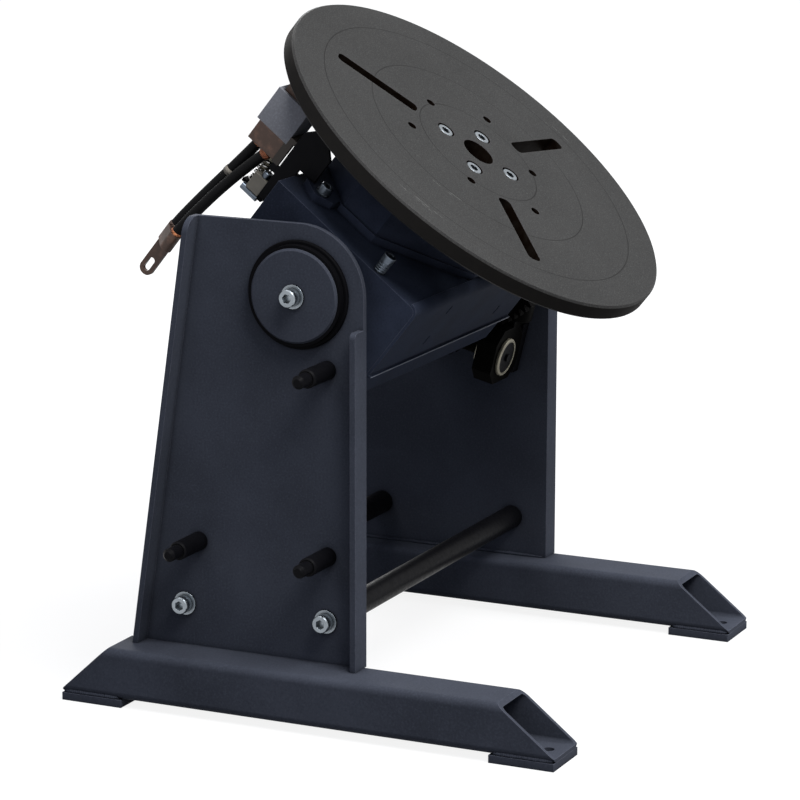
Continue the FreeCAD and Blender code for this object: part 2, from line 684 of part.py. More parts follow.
node("trunnion_screws",
     socket_screw(D.screw_r, D.head_r, D.head_t, D.socket_r, D.tap_deep + D.washer_t,
                  (-(left_gap + D.washer_t), 0, 0), ALONG_MINUS_X),
     socket_screw(D.screw_r, D.head_r, D.head_t, D.socket_r, disc_long + D.tap_deep + D.washer_t,
                  (right_face + D.washer_t, 0, 0), ALONG_X),
     frame="cradle")
node("trunnion_washers",
     ring(D.washer_r, D.screw_r, D.washer_t, (-left_gap, 0, 0), ALONG_MINUS_X),
     ring(D.washer_r, D.screw_r, D.washer_t, (right_face, 0, 0), ALONG_X),
     frame="cradle")


# Involute teeth: each flank is one arc through three points of the involute
PRESSURE = math.radians(20)


def involute(angle):
    return math.tan(angle) - angle


def polar(radius, angle):
    return FreeCAD.Vector(radius * math.cos(angle), radius * math.sin(angle), 0)


def teeth_edges(module, teeth, backlash, centres):
    """The edges from the first tooth's root to the last tooth's root, anticlockwise."""
    pitch = module * teeth / 2
    base = pitch * math.cos(PRESSURE)
    tip = pitch + module
    root = pitch - 1.25 * module
    foot = max(root, base)
    half = (math.pi * module / 2 - backlash) / (2 * pitch) + involute(PRESSURE)
    radii = [foot, (foot + tip) / 2, tip]
    halves = [half - involute(math.acos(min(1, base / radius))) for radius in radii]
    edges = []
    last = None
    for centre in centres:
        rise = [polar(r, centre - h) for r, h in zip(radii, halves)]
        fall = [polar(r, centre + h) for r, h in zip(radii, halves)]
        left_root = polar(root, centre - halves[0])
        right_root = polar(root, centre + halves[0])
        if last is not None:
            middle = polar(root, centre - math.pi / teeth)
            edges.append(Part.Arc(last, middle, left_root).toShape())
        if foot > root:
            edges.append(Part.makeLine(left_root, rise[0]))
        edges.append(Part.Arc(rise[0], rise[1], rise[2]).toShape())
        edges.append(Part.Arc(rise[2], polar(tip, centre), fall[2]).toShape())
        edges.append(Part.Arc(fall[2], fall[1], fall[0]).toShape())
        if foot > root:
            edges.append(Part.makeLine(fall[0], right_root))
        last = right_root
    return edges


def full_gear(module, teeth, backlash, width, turn, bore):
    """A spur gear about Z with a tooth centred at the given angle, standing on Z = 0."""
    step = 2 * math.pi / teeth
    edges = teeth_edges(module, teeth, backlash, [turn + i * step for i in range(teeth)])
    root = module * teeth / 2 - 1.25 * module
    start = edges[-1].Vertexes[-1].Point
    end = edges[0].Vertexes[0].Point
    edges.append(Part.Arc(start, polar(root, turn - step / 2), end).toShape())
    blank = Part.Face(Part.Wire(edges)).extrude(FreeCAD.Vector(0, 0, width))
    return blank.cut(Part.makeCylinder(bore, width))


def solid(shape, at=(0, 0, 0), turn=UPRIGHT):
    """A computed shape as a document object with its own placement."""
    piece = doc.addObject("Part::Feature", "Teeth")
    piece.Shape = shape
    return place(piece, at, turn)


# Tilt wheel: a toothed sector that meets the worm below the tilt axis
wheel_step = 2 * math.pi / D.wheel_teeth.number
below = -math.pi / 2
first_tooth = -14
last_tooth = 10
sector_centres = [below + (i + 0.5) * wheel_step for i in range(first_tooth, last_tooth + 1)]
wheel_edges = teeth_edges(D.wheel_mod.number, int(D.wheel_teeth.number), D.backlash.number,
                          sector_centres)
rim_start = wheel_edges[0].Vertexes[0].Point
rim_end = wheel_edges[-1].Vertexes[-1].Point
web_r = D.wheel_web.number
first_angle = sector_centres[0] - wheel_step / 2
last_angle = sector_centres[-1] + wheel_step / 2
rim_in_start = polar(web_r, first_angle)
rim_in_end = polar(web_r, last_angle)
middle_angle = (first_angle + last_angle) / 2
wheel_edges.append(Part.makeLine(rim_end, rim_in_end))
wheel_edges.append(Part.Arc(rim_in_end, polar(web_r, middle_angle), rim_in_start).toShape())
wheel_edges.append(Part.makeLine(rim_in_start, rim_start))
rim_wire = Part.Wire(wheel_edges)
lead = math.asin(D.wheel_t.number / 2 / D.worm_pitch_r.number)
slant = math.degrees(math.pi * D.wheel_mod.number * lead / (2 * math.pi) / wheel_r.number)
rim_low = rim_wire.copy()
rim_low.rotate(FreeCAD.Vector(), FreeCAD.Vector(0, 0, 1), -slant)
rim_high = rim_wire.copy()
rim_high.rotate(FreeCAD.Vector(), FreeCAD.Vector(0, 0, 1), slant)
rim_high.translate(FreeCAD.Vector(0, 0, D.wheel_t.number))
rim = Part.makeLoft([rim_low, rim_high], True, True)

spoke_reach = web_r + 4
web_first = first_angle + math.radians(slant) * 2
web_last = last_angle - math.radians(slant) * 2
spread = 0.55
web_edges = [
    Part.makeLine(polar(D.hub_r.number, first_angle - spread), polar(spoke_reach, web_first)),
    Part.Arc(polar(spoke_reach, web_first), polar(spoke_reach, middle_angle),
             polar(spoke_reach, web_last)).toShape(),
    Part.makeLine(polar(spoke_reach, web_last), polar(D.hub_r.number, last_angle + spread)),
    Part.Arc(polar(D.hub_r.number, last_angle + spread), polar(D.hub_r.number, middle_angle + math.pi),
             polar(D.hub_r.number, first_angle - spread)).toShape()]
plate = Part.Face(Part.Wire(web_edges)).extrude(FreeCAD.Vector(0, 0, D.wheel_t.number))
ONTO_WHEEL = FreeCAD.Rotation(FreeCAD.Vector(1, 1, 1), 120)
sector_at = (wheel_at, 0, 0)
sector_screws = []
sector_taps = []
for quarter in range(4):
    angle = math.radians(45 + 90 * quarter)
    y = D.wheel_screws * math.cos(angle)
    z = D.wheel_screws * math.sin(angle)
    sector_taps.append(rod(D.wheel_screw_r, D.wheel_t, (wheel_at, y, z), ALONG_X))
    sector_screws.append(hexagon_screw(D.wheel_screw_r, D.wheel_screw_r * 1.65, D.wheel_screw_r * 1.4,
                                       D.wheel_t, (wheel_at + D.wheel_t, y, z), ALONG_X))
bored = cut(solid(rim.fuse(plate).removeSplitter(), sector_at, ONTO_WHEEL),
            rod(D.shaft_r, D.wheel_t, sector_at, ALONG_X), *sector_taps)
node("tilt_gear_sector", bored, frame="drive")
node("sector_screws", *sector_screws, frame="drive")

# Worm: a right-hand thread on a core, its shaft running on into the gearbox
pitch = math.pi * D.wheel_mod.number
turns = int(D.worm_turns.number)
crest = D.worm_pitch_r.number + D.wheel_mod.number
core = D.worm_pitch_r.number - 1.28 * D.wheel_mod.number
tan_p = math.tan(PRESSURE)
half_pitch = pitch / 4 - D.backlash.number / 2
buried = core - 0.4
wide = half_pitch + (D.worm_pitch_r.number - buried) * tan_p
thin = half_pitch - D.wheel_mod.number * tan_p
low_end = -pitch * turns / 2
profile = Part.makePolygon([
    FreeCAD.Vector(buried, 0, low_end - wide), FreeCAD.Vector(crest, 0, low_end - thin),
    FreeCAD.Vector(crest, 0, low_end + thin), FreeCAD.Vector(buried, 0, low_end + wide),
    FreeCAD.Vector(buried, 0, low_end - wide)])
helix = Part.makeHelix(pitch, pitch * turns, D.worm_pitch_r.number)
helix.translate(FreeCAD.Vector(0, 0, low_end))
thread = Part.Wire(helix).makePipeShell([profile], True, True)
core_half = -low_end + wide + 1
core_blank = Part.makeCylinder(core, 2 * core_half, FreeCAD.Vector(0, 0, -core_half))
ONTO_WORM = FreeCAD.Rotation(FreeCAD.Vector(1, 1, 1), -120)
worm_at = (D.drive_x, 0, worm_z)
neck = D.worm_neck
worm_core = solid(core_blank.fuse(thread), worm_at, ONTO_WORM)
shaft_front = -D.box_front + D.ring_deep
shaft_back = D.block_y + D.block_t + 6
worm_shaft = rod(neck, -shaft_front - core_half + 1, (D.drive_x, shaft_front, worm_z), ALONG_Y)
worm_tail = rod(neck, shaft_back - core_half + 1, (D.drive_x, core_half - 1, worm_z), ALONG_Y)
end_tap = rod(D.end_screw_r, 16, (D.drive_x, shaft_front, worm_z), ALONG_Y)
node("tilt_worm", cut(fuse(worm_shaft, worm_core, worm_tail), end_tap), frame="drive")

box_long = D.box_t - D.ring_t * 2 - D.seat_gap * 2
flange_gap = D.ring_t + D.seat_gap
sleeve_back = D.box_t - D.ring_deep
node("output_sleeve", lathe([
    (neck, D.ring_deep), (neck, sleeve_back), (D.ring_in, sleeve_back), (D.ring_in, D.box_t),
    (D.ring_r - 1, D.box_t), (D.ring_r, D.box_t - 1), (D.ring_r, D.box_t - D.ring_t),
    (D.sleeve_r, D.box_t - D.ring_t), (D.sleeve_r, D.ring_t), (D.ring_r, D.ring_t), (D.ring_r, 1),
    (D.ring_r - 1, 0), (D.ring_in, 0), (D.ring_in, D.ring_deep)],
    (D.drive_x, -D.box_front, worm_z), ALONG_Y), frame="drive")
node("shaft_end_cap", ring(
    D.ring_in - D.seat_gap, D.end_screw_r, D.cap_t, (D.drive_x, shaft_front, worm_z), ALONG_MINUS_Y),
    frame="drive")
node("shaft_end_screw", hexagon_screw(
    D.end_screw_r, D.end_screw_r * 1.7, D.end_screw_r, 16,
    (D.drive_x, shaft_front - D.cap_t, worm_z), ALONG_MINUS_Y), frame="drive")

# Gearbox body, eight-sided from the front, relieved where the tilt wheel passes
box_left = D.drive_x - D.box_left
box_right = D.drive_x + D.box_right
box_low = worm_z - D.box_low
box_high = worm_z + D.box_high
chamfer = D.box_cham
box_body = pad("xz", [
    (box_left + chamfer, box_low), (box_right - chamfer, box_low), (box_right, box_low + chamfer),
    (box_right, box_high - chamfer), (box_right - chamfer, box_high),
    (box_left + chamfer, box_high), (box_left, box_high - chamfer), (box_left, box_low + chamfer)],
    D.box_front - D.box_t + flange_gap, box_long)
relief_r = wheel_r + D.wheel_mod + 2.5
relief = rod(relief_r, D.wheel_t + 6, (wheel_at - 3, 0, 0), ALONG_X)
motor_y = box_back - D.box_t / 2
node("tilt_gearbox", cut(box_body, relief, rod(
    D.sleeve_r + D.running_gap, box_long, (D.drive_x, -D.box_front + flange_gap, worm_z), ALONG_Y)),
    frame="drive")
motor_x = D.tilt_motor_x + 1
node("tilt_motor", fuse(
    box((motor_x - D.tilt_motor_r, motor_y - 11, box_high), (D.tilt_motor_r * 2, 22, D.motor_flange)),
    rod(D.tilt_motor_r - 1, D.tilt_motor_len - 30, (motor_x, motor_y, box_high + D.motor_flange))),
    frame="drive")
bracket_x = D.right_in - box_right
node("gearbox_bracket", cut(
    box((box_right, -D.box_front + flange_gap + 1, box_low + 2),
        (bracket_x, box_long - 2, box_high - box_low - 4)),
    *[rod(drive_screw_r, 12, (D.right_in - 12, y, z), ALONG_X) for y, z in drive_screw_spots[:2]]),
    frame="drive")
node("worm_bearing_block", cut(
    fuse(box((D.drive_x, D.block_y, worm_z - D.block_half),
             (D.right_in - D.drive_x, D.block_t, D.block_half * 2)),
         box((D.right_in - 14, D.block_y, worm_z - 24), (14, D.block_t, 48)),
         rod(D.block_half, D.block_t, (D.drive_x, D.block_y, worm_z), ALONG_Y)),
    rod(neck + D.running_gap, D.block_t, (D.drive_x, D.block_y, worm_z), ALONG_Y),
    *[rod(drive_screw_r, 12, (D.right_in - 12, y, z), ALONG_X) for y, z in drive_screw_spots[2:]]),
    frame="drive")
node("drive_screws", *[
    socket_screw(drive_screw_r, 6.5, 8, 3.4, D.plate_t + 12, (right_out, y, z), ALONG_X)
    for y, z in drive_screw_spots], frame="drive")

# Cradle: a plate box open below, with a bent front cover
left = -D.cradle_left
right = D.cradle_right
low = -D.cradle_low
front = -D.cradle_front
back = D.cradle_back
across = D.cradle_left + D.cradle_right
t = D.sheet_t
wall_low = low + D.cradle_round
gear_pitch_r = D.gear_mod * D.gear_teeth / 2
pinion_x = -(gear_pitch_r + D.gear_mod * D.pinion_teeth / 2)
housing_spots = []
for i in range(6):
    angle = math.radians(30 + 60 * i)
    reach = D.housing_r + 8
    housing_spots.append((reach * math.cos(angle), reach * math.sin(angle)))
ear_screw = (-D.ear_screw_x, D.ear_screw_v)
corner_screw = (-D.corner_screw_x, -D.corner_screw_v)


def cheek(x):
    return pad("yz", [
        (front, low), (back, low, D.cradle_round), (back, D.cradle_top),
        (front, D.cradle_top, D.cradle_bend)], x, t)


def plate_holes(start, thick, screws):
    """The holes that the cradle's top and the base plate share."""
    holes = [rod(D.housing_r, thick, (0, 0, start)), rod(D.motor_hole, thick, (pinion_x, 0, start))]
    holes += [rod(D.housing_screw_r, thick, (x, y, start)) for x, y in housing_spots]
    holes += [rod(D.base_screw_r, thick, (x, y, start)) for x, y in screws]
    return holes


bent_sheet = pad("yz", [
    (front, low), (front + t, low), (front + t, top_low), (back - t, top_low), (back - t, wall_low),
    (back, wall_low), (back, D.cradle_top), (front, D.cradle_top, D.cradle_bend)], left, across)
node("cradle_frame", cut(
    fuse(bent_sheet, cheek(left), cheek(right - t)),
    *plate_holes(top_low, t, [ear_screw, corner_screw])), frame="cradle")

cover_front = front - D.cover_t
cover_high = D.cradle_top + D.cover_t
lip_front = cover_front - D.cover_lip
lip_high = D.cover_lip - D.cover_low
cover = pad("yz", [
    (lip_front, -D.cover_low), (front, -D.cover_low), (front, D.cradle_top, D.cradle_bend),
    (front + D.cover_reach, D.cradle_top), (front + D.cover_reach, cover_high),
    (cover_front, cover_high, D.cradle_bend + D.cover_t), (cover_front, lip_high),
    (lip_front, lip_high)], left, across)
slots = []
for x, row in ((-99, 1), (83, 1), (-95, 0), (79, 0)):
    slot_low = D.cover_slot_row * row + 1 - D.cover_slot_len / 2
    slots.append(box((x - D.cover_slot_w / 2, cover_front, slot_low),
                     (D.cover_slot_w, D.cover_t, D.cover_slot_len)))
node("front_cover", cut(cover, *slots), frame="cradle")


def octagon(inset, start, length):
    """The eight-sided housing's outline, drawn in by inset."""
    lean = inset * 0.6
    low_v = -D.shroud_v + inset
    high_v = D.shroud_v - inset
    left_u = -D.shroud_left + inset
    right_u = D.shroud_right - inset
    nose = D.shroud_nose + lean
    shoulder = -D.shroud_v + D.shroud_cut + lean
    heel = D.shroud_v - D.shroud_heel_cut - lean
    return pad("xy", [
        (left_u, shoulder), (-nose, low_v), (nose, low_v), (right_u, shoulder),
        (right_u, heel), (D.shroud_right - D.shroud_heel + lean, high_v),
        (-D.shroud_left + D.shroud_heel - lean, high_v), (left_u, heel)], start, length)


ear_in = -D.shroud_left + D.shroud_heel
ear = pad("xy", [
    (ear_in, D.shroud_v + D.base_lip), (ear_screw[0], ear_screw[1] + D.ear_back, D.ear_round),
    (ear_screw[0] - D.ear_side, ear_screw[1], D.ear_round), (ear_screw[0], ear_screw[1] - D.ear_side),
    (ear_in, ear_screw[1] - D.ear_side)], D.cradle_top, D.base_t)
node("housing_base", cut(
    fuse(octagon(-D.base_lip, D.cradle_top, D.base_t), ear),
    *plate_holes(D.cradle_top, D.base_t, [ear_screw])), frame="cradle")

node("housing_shell", cut(
    octagon(Size(0, "0"), base_top, D.shroud_high - base_top),
    octagon(D.shroud_wall, base_top, D.shroud_high - base_top - D.shroud_wall),
    rod(D.spindle_neck + 2, D.shroud_wall, (0, 0, D.shroud_high - D.shroud_wall))), frame="cradle")

# Bearing housing and the two roller bearings of the table spindle
housing_top = D.bearing_high + D.bearing_t + 2
flange_t = D.base_t
flange_low = top_low - flange_t
flange_r = D.housing_r + D.housing_flange
ledge_r = D.bearing_out - 3
ledge_low = D.bearing_low + D.bearing_t
node("bearing_housing", cut(lathe([
    (D.bearing_out, D.bearing_low), (D.housing_r, D.bearing_low), (D.housing_r, flange_low),
    (flange_r, flange_low), (flange_r, top_low), (D.housing_r, top_low),
    (D.housing_r, housing_top), (D.bearing_out, housing_top), (D.bearing_out, D.bearing_high),
    (ledge_r, D.bearing_high), (ledge_r, ledge_low), (D.bearing_out, ledge_low)]),
    *[rod(D.housing_screw_r, flange_t, (x, y, flange_low)) for x, y in housing_spots]), frame="cradle")
outer_in = D.bearing_out - D.bearing_ring
inner_out = D.spindle_r + D.bearing_ring
roller_r = (outer_in - inner_out) / 2 - D.running_gap
roller_at = (outer_in + inner_out) / 2
roller_count = int(D.rollers.number)
outer_rings = []
inner_rings = []
rollers = []
for low_z in (D.bearing_low, D.bearing_high):
    outer_rings.append(ring(D.bearing_out, outer_in, D.bearing_t, (0, 0, low_z)))
    inner_rings.append(ring(inner_out, D.spindle_r, D.bearing_t, (0, 0, low_z)))
    for i in range(roller_count):
        angle = 2 * math.pi * i / roller_count
        rollers.append(rod(roller_r, D.bearing_t - 4, (
            roller_at * math.cos(angle), roller_at * math.sin(angle), low_z + 2)))
inner_rings.append(ring(inner_out - 1, D.spindle_r, D.bearing_high - ledge_low, (0, 0, ledge_low)))
node("bearing_outer_rings", *outer_rings, frame="cradle")
node("bearing_rollers", *rollers, frame="cradle")
node("bearing_inner_rings", *inner_rings, frame="cradle")
node("housing_screws", *[
    hexagon_screw(D.housing_screw_r, D.housing_screw_r * 1.85, D.housing_screw_r * 1.3,
                  flange_t + t + D.base_t - 1, (x, y, flange_low), DOWNWARD)
    for x, y in housing_spots], frame="cradle")
screw_head = D.base_screw_r * 1.625
ear_washer = Size(2, "2")
node("base_screws",
     socket_screw(D.base_screw_r, screw_head, D.base_screw_r * 2, D.base_screw_r * 0.85,
                  D.base_t + t + ear_washer, (ear_screw[0], ear_screw[1], base_top + ear_washer), UPRIGHT),
     socket_screw(D.base_screw_r, screw_head, D.base_screw_r * 2, D.base_screw_r * 0.85,
                  D.stand_off + t, (corner_screw[0], corner_screw[1], D.cradle_top + D.stand_off), UPRIGHT),
     ring(screw_head + 1, D.base_screw_r, ear_washer, (ear_screw[0], ear_screw[1], base_top)),
     ring(D.base_screw_r * 1.4, D.base_screw_r, D.stand_off,
          (corner_screw[0], corner_screw[1], D.cradle_top)), frame="cradle")

# Rotation gear motor below the top plate, and its pinion
motor_low = top_low - D.motor_len
node("rotation_motor", cut(fuse(
    box((pinion_x - D.motor_r, -D.motor_r, top_low - 26), (D.motor_r * 2 - 16, D.motor_r * 2, 26)),
    rod(D.motor_r - 3, D.motor_len - 26, (pinion_x, 0, motor_low))),
    rod(D.pinion_shaft + D.running_gap, D.shaft_deep, (pinion_x, 0, top_low - D.shaft_deep))),
    frame="cradle")
pinion_half = 180.0 / D.pinion_teeth.number
pinion_low = D.gear_low - 1
pinion_t = D.gear_t + 2
pinion = solid(full_gear(D.gear_mod.number, int(D.pinion_teeth.number), D.backlash.number,
                         pinion_t.number, math.radians(pinion_half), 1.0),
               (pinion_x, 0, pinion_low))
pinion_rod = rod(D.pinion_shaft, D.shaft_deep - 1 + t + D.base_t + 22,
                 (pinion_x, 0, top_low - D.shaft_deep + 1))
node("drive_pinion", fuse(pinion, pinion_rod), frame="cradle")

# Turning table: plate, spindle, gear and nut
node("spindle_gear", solid(full_gear(
    D.gear_mod.number, int(D.gear_teeth.number), D.backlash.number, D.gear_t.number, 0,
    D.spindle_seat.number),
    (0, 0, D.gear_low)), frame="cradle")
head_low = D.shroud_high + 3
table_spots = []
for i in range(4):
    angle = D.table_screw_turn + 90 * i
    table_spots.append((D.table_pcd * cosine(angle), D.table_pcd * sine(angle)))
table_seat = D.table_face - D.screw_sunk
bearing_top = D.bearing_high + D.bearing_t
gear_top = D.gear_low + D.gear_t
nut_r = D.spindle_r - 2
node("spindle", cut(lathe([
    (D.table_bore, 2), (nut_r, 2), (nut_r, D.bearing_low), (D.spindle_r, D.bearing_low),
    (D.spindle_r, bearing_top), (inner_out, bearing_top), (inner_out, D.gear_low),
    (D.spindle_seat, D.gear_low), (D.spindle_seat, gear_top), (D.spindle_neck, gear_top),
    (D.spindle_neck, head_low), (D.spindle_head, head_low), (D.spindle_head, table_back),
    (D.table_bore, table_back)]),
    *[rod(D.screw_r, D.screw_deep, (x, y, table_back - D.screw_deep)) for x, y in table_spots]),
    frame="cradle")
node("spindle_nut", cut(prism(6, inner_out + 3, D.bearing_low - 4, (0, 0, 4)),
                        rod(nut_r, D.bearing_low - 4, (0, 0, 4))), frame="cradle")

rim_low = D.table_face - D.table_cham
table_blank = lathe([
    (D.table_bore, table_back), (D.table_r - D.table_cham, table_back),
    (D.table_r, table_back + D.table_cham), (D.table_r, rim_low),
    (D.table_r - D.table_cham, D.table_face), (D.table_bore, D.table_face)])
table_cuts = []
for x, y in table_spots:
    table_cuts.append(rod(D.screw_r, D.table_t, (x, y, table_back)))
    table_cuts.append(rod(D.head_r + 1, D.screw_sunk, (x, y, table_seat)))
for i in range(3):
    for radius, turn in ((D.tap_outer, 22.5 + 120 * i), (D.tap_inner, 83 + 120 * i)):
        angle = as_size(turn)
        table_cuts.append(rod(D.tap_r, D.table_t,
                              (radius * cosine(angle), radius * sine(angle), table_back)))
half_slot = D.slot_w / 2
for i in range(3):
    turn = D.slot_turn.number + 120 * i
    slot = pad("xy", [
        (D.slot_in, -half_slot, 6), (D.slot_out, -half_slot, 6), (D.slot_out, half_slot, 6),
        (D.slot_in, half_slot, 6)], table_back, D.table_t)
    place(slot, (0, 0, 0), FreeCAD.Rotation(FreeCAD.Vector(0, 0, 1), turn))
    bind(slot, "Placement.Rotation.Angle", D.slot_turn + 120 * i if turn < 180 else
         360 - D.slot_turn - 120 * i)
    if turn >= 180:
        slot.Placement = FreeCAD.Placement(
            FreeCAD.Vector(), FreeCAD.Rotation(FreeCAD.Vector(0, 0, -1), 360 - turn))
    table_cuts.append(slot)
node("table_plate", cut(table_blank, *table_cuts), frame="cradle")
node("table_screws", *[
    socket_screw(D.screw_r, D.head_r, D.head_t, D.socket_r, table_seat - table_back + D.screw_deep,
                 (x, y, table_seat), UPRIGHT) for x, y in table_spots], frame="cradle")

# Earth contact: a bracket at the cradle's rear, a copper holder, a sprung brush and two leads
ex = D.earth_in - D.table_r
ev = D.earth_v
cover_top = table_back - D.earth_gap
cover_bottom = cover_top - D.earth_cover
holder_low = cover_bottom - D.holder_t
holder_v = ev + D.holder_set
plate_far = ev - D.plate_gap
plate_near = plate_far - D.bracket_t
strip_near = plate_far + D.slit_w
slit_top = cover_bottom + 4.5
slit_low = holder_low - 1.5
bar_top = slit_top + 5
gusset_top = cover_bottom + 33
rod_x = ex + 22
rod_v = holder_v + 7
collar_r = D.brush_r + 4
foot_reach = rod_v + collar_r - plate_near
# the gusset fills the corner between the bracket's plate and the cradle's top, under the table
gusset = pad("yz", [
    (back, 20), (plate_far, 20), (plate_far, slit_low - 8), (strip_near + 6, slit_low - 8),
    (strip_near + 6, slit_low), (plate_far, slit_low), (plate_far, gusset_top - 10),
    (plate_far - 9, gusset_top), (back - 6, gusset_top), (back - 20, gusset_top - 14),
    (back - 20, base_top), (back, base_top)], ex, D.gusset_t)
node("earth_bracket", cut(
    fuse(gusset,
         box((ex + D.gusset_t, plate_near, D.earth_foot),
             (D.earth_deep - D.gusset_t, D.bracket_t, bar_top - D.earth_foot)),
         box((ex + 12, plate_near, D.earth_foot), (D.earth_deep - 12, foot_reach, D.gusset_t)),
         box((ex + 5, back, 20), (D.earth_deep - 10, plate_near - back, 34))),
    rod(D.brush_r + 0.5, D.gusset_t, (rod_x, rod_v, D.earth_foot))), frame="cradle")
strip = pad("yz", [
    (strip_near, slit_low), (holder_v, slit_low), (holder_v, cover_bottom), (ev, cover_bottom),
    (ev, bar_top), (plate_far, bar_top), (plate_far, slit_top), (strip_near, slit_top)],
    ex, D.gusset_t)
bar = box((ex + D.gusset_t, plate_far, slit_top),
          (D.earth_deep - D.gusset_t, D.plate_gap, bar_top - slit_top))
node("earth_insulator", fuse(strip, bar), frame="cradle")
node("earth_holder", cut(
    box((ex, holder_v, holder_low), (D.earth_deep, D.holder_w, D.holder_t)),
    rod(D.brush_r + D.brush_gap, D.holder_t, (rod_x, rod_v, holder_low))), frame="cradle")
s = D.earth_sheet
node("earth_cover", cut(
    box((ex, ev, cover_bottom), (D.earth_deep, D.earth_w, D.earth_cover)),
    box((ex + s, ev + s, cover_bottom), (D.earth_deep - s * 2, D.earth_w - s * 2, D.earth_cover - s)),
    box((ex + s + 2, ev + s + 2, cover_top - s), (D.earth_deep - s * 2 - 4, D.earth_w - s * 2 - 4, s))),
    frame="cradle")
head_v = D.earth_w - s * 2 - 6
head_x = D.earth_deep - s * 2 - 6
touch = D.running_gap
node("contact_brush",
     box((ex + s + 3, ev + s + 3, cover_top - 16), (head_x, head_v, D.earth_gap + 16 - touch)),
     frame="cradle")
collar_z = holder_low - 9
node("brush_rod", fuse(
    rod(D.brush_r, cover_top - 16 - D.earth_foot + 6, (rod_x, rod_v, D.earth_foot - 6)),
    rod(collar_r, 4, (rod_x, rod_v, collar_z))), frame="cradle")
spring_low = D.earth_foot + D.gusset_t
node("brush_spring", ring(D.brush_r + 3, D.brush_r + 1, collar_z - spring_low, (rod_x, rod_v, spring_low)),
     frame="cradle")

# Clamp block on the bracket's plate, with the screw on it and the pin below it
clamp_mid = ex + 6
clamp_v = plate_far + 6
node("earth_clamp", cut(
    box((ex, plate_far, spring_low), (D.clamp_deep, D.clamp_w, D.clamp_t)),
    rod(D.clamp_screw_r, D.clamp_t, (clamp_mid, clamp_v, spring_low))), frame="cradle")
node("clamp_screws",
     socket_screw(D.clamp_screw_r, D.clamp_screw_r * 1.6, D.clamp_screw_r * 2.2, D.clamp_screw_r * 0.8,
                  D.clamp_t, (clamp_mid, clamp_v, spring_low + D.clamp_t), UPRIGHT),
     rod(D.clamp_pin_r, D.clamp_w + 5, (clamp_mid, plate_far, spring_low - D.clamp_pin_r), ALONG_Y),
     frame="cradle")


def cord(plane_x, radius, points, label):
    """A round cord in a plane across X: straight runs with tangent arcs between, trimmed at its low end."""
    body = doc.addObject("PartDesign::Body", "Body")
    route = new_sketch(body, "yz", plane_x)
    spots = [FreeCAD.Vector(as_size(a).number, as_size(b).number, 0) for a, b in points]
    runs = [(spots[i + 1] - spots[i]).Length for i in range(len(spots) - 1)]
    joints = [(spots[0], spots[0])]
    bends = []
    for i in range(1, len(spots) - 1):
        before = (spots[i - 1] - spots[i]).normalize()
        after = (spots[i + 1] - spots[i]).normalize()
        half_turn = (math.pi - before.getAngle(after)) / 2
        reach = 0.45 * min(runs[i - 1], runs[i])
        bends.append(reach / math.tan(half_turn))
        joints.append((spots[i] + before * reach, spots[i] + after * reach))
    joints.append((spots[-1], spots[-1]))
    print(label, "bend radii", [round(bend, 1) for bend in bends])
    lines = [route.addGeometry(Part.LineSegment(joints[i][1], joints[i + 1][0]), False)
             for i in range(len(spots) - 1)]
    hold(route, lines[0], 1, points[0][0], points[0][1])
    for i in range(1, len(spots) - 1):
        start, stop = joints[i]
        middle = (start + stop) * 0.5
        inward = (middle - spots[i]).normalize()
        centre = spots[i] + inward * math.hypot(bends[i - 1], (start - spots[i]).Length)
        first = math.atan2(start.y - centre.y, start.x - centre.x)
        last = math.atan2(stop.y - centre.y, stop.x - centre.x)
        forward = (last - first) % (2 * math.pi) < math.pi
        circle = Part.Circle(centre, FreeCAD.Vector(0, 0, 1), bends[i - 1])
        arc = route.addGeometry(
            Part.ArcOfCircle(circle, *((first, last) if forward else (last, first))), False)
        route.addConstraint(Sketcher.Constraint("Tangent", lines[i - 1], 2, arc, 1 if forward else 2))
        route.addConstraint(Sketcher.Constraint("Tangent", lines[i], 1, arc, 2 if forward else 1))
        route.addConstraint(Sketcher.Constraint("Radius", arc, bends[i - 1]))
        corner = route.addGeometry(Part.Point(spots[i]), True)
        hold(route, corner, 1, points[i][0], points[i][1])
        route.addConstraint(Sketcher.Constraint("PointOnObject", corner, 1, lines[i - 1]))
        route.addConstraint(Sketcher.Constraint("PointOnObject", corner, 1, lines[i]))
    hold(route, lines[-1], 2, points[-1][0], points[-1][1])
    section = new_sketch(body, "xy", points[0][1])
    circle = section.addGeometry(Part.Circle(
        FreeCAD.Vector(as_size(plane_x).number, spots[0].x, 0), FreeCAD.Vector(0, 0, 1),
        as_size(radius).number), False)
    hold(section, circle, 3, plane_x, points[0][0])
    index = section.addConstraint(Sketcher.Constraint("Radius", circle, as_size(radius).number))
    bind(section, "Constraints[%d]" % index, radius)
    pipe = body.newObject("PartDesign::AdditivePipe", "Pipe")
    pipe.Profile = section
    pipe.Spine = (route, ["Edge%d" % (i + 1) for i in range(2 * len(spots) - 3)])
    end_v, end_z = points[-1]
    trim = box((plane_x - radius * 2, end_v - radius * 2, end_z - D.lead_over),
               (radius * 4, radius * 4, D.lead_over * 2))
    node(label, cut(body, trim), frame="cradle")


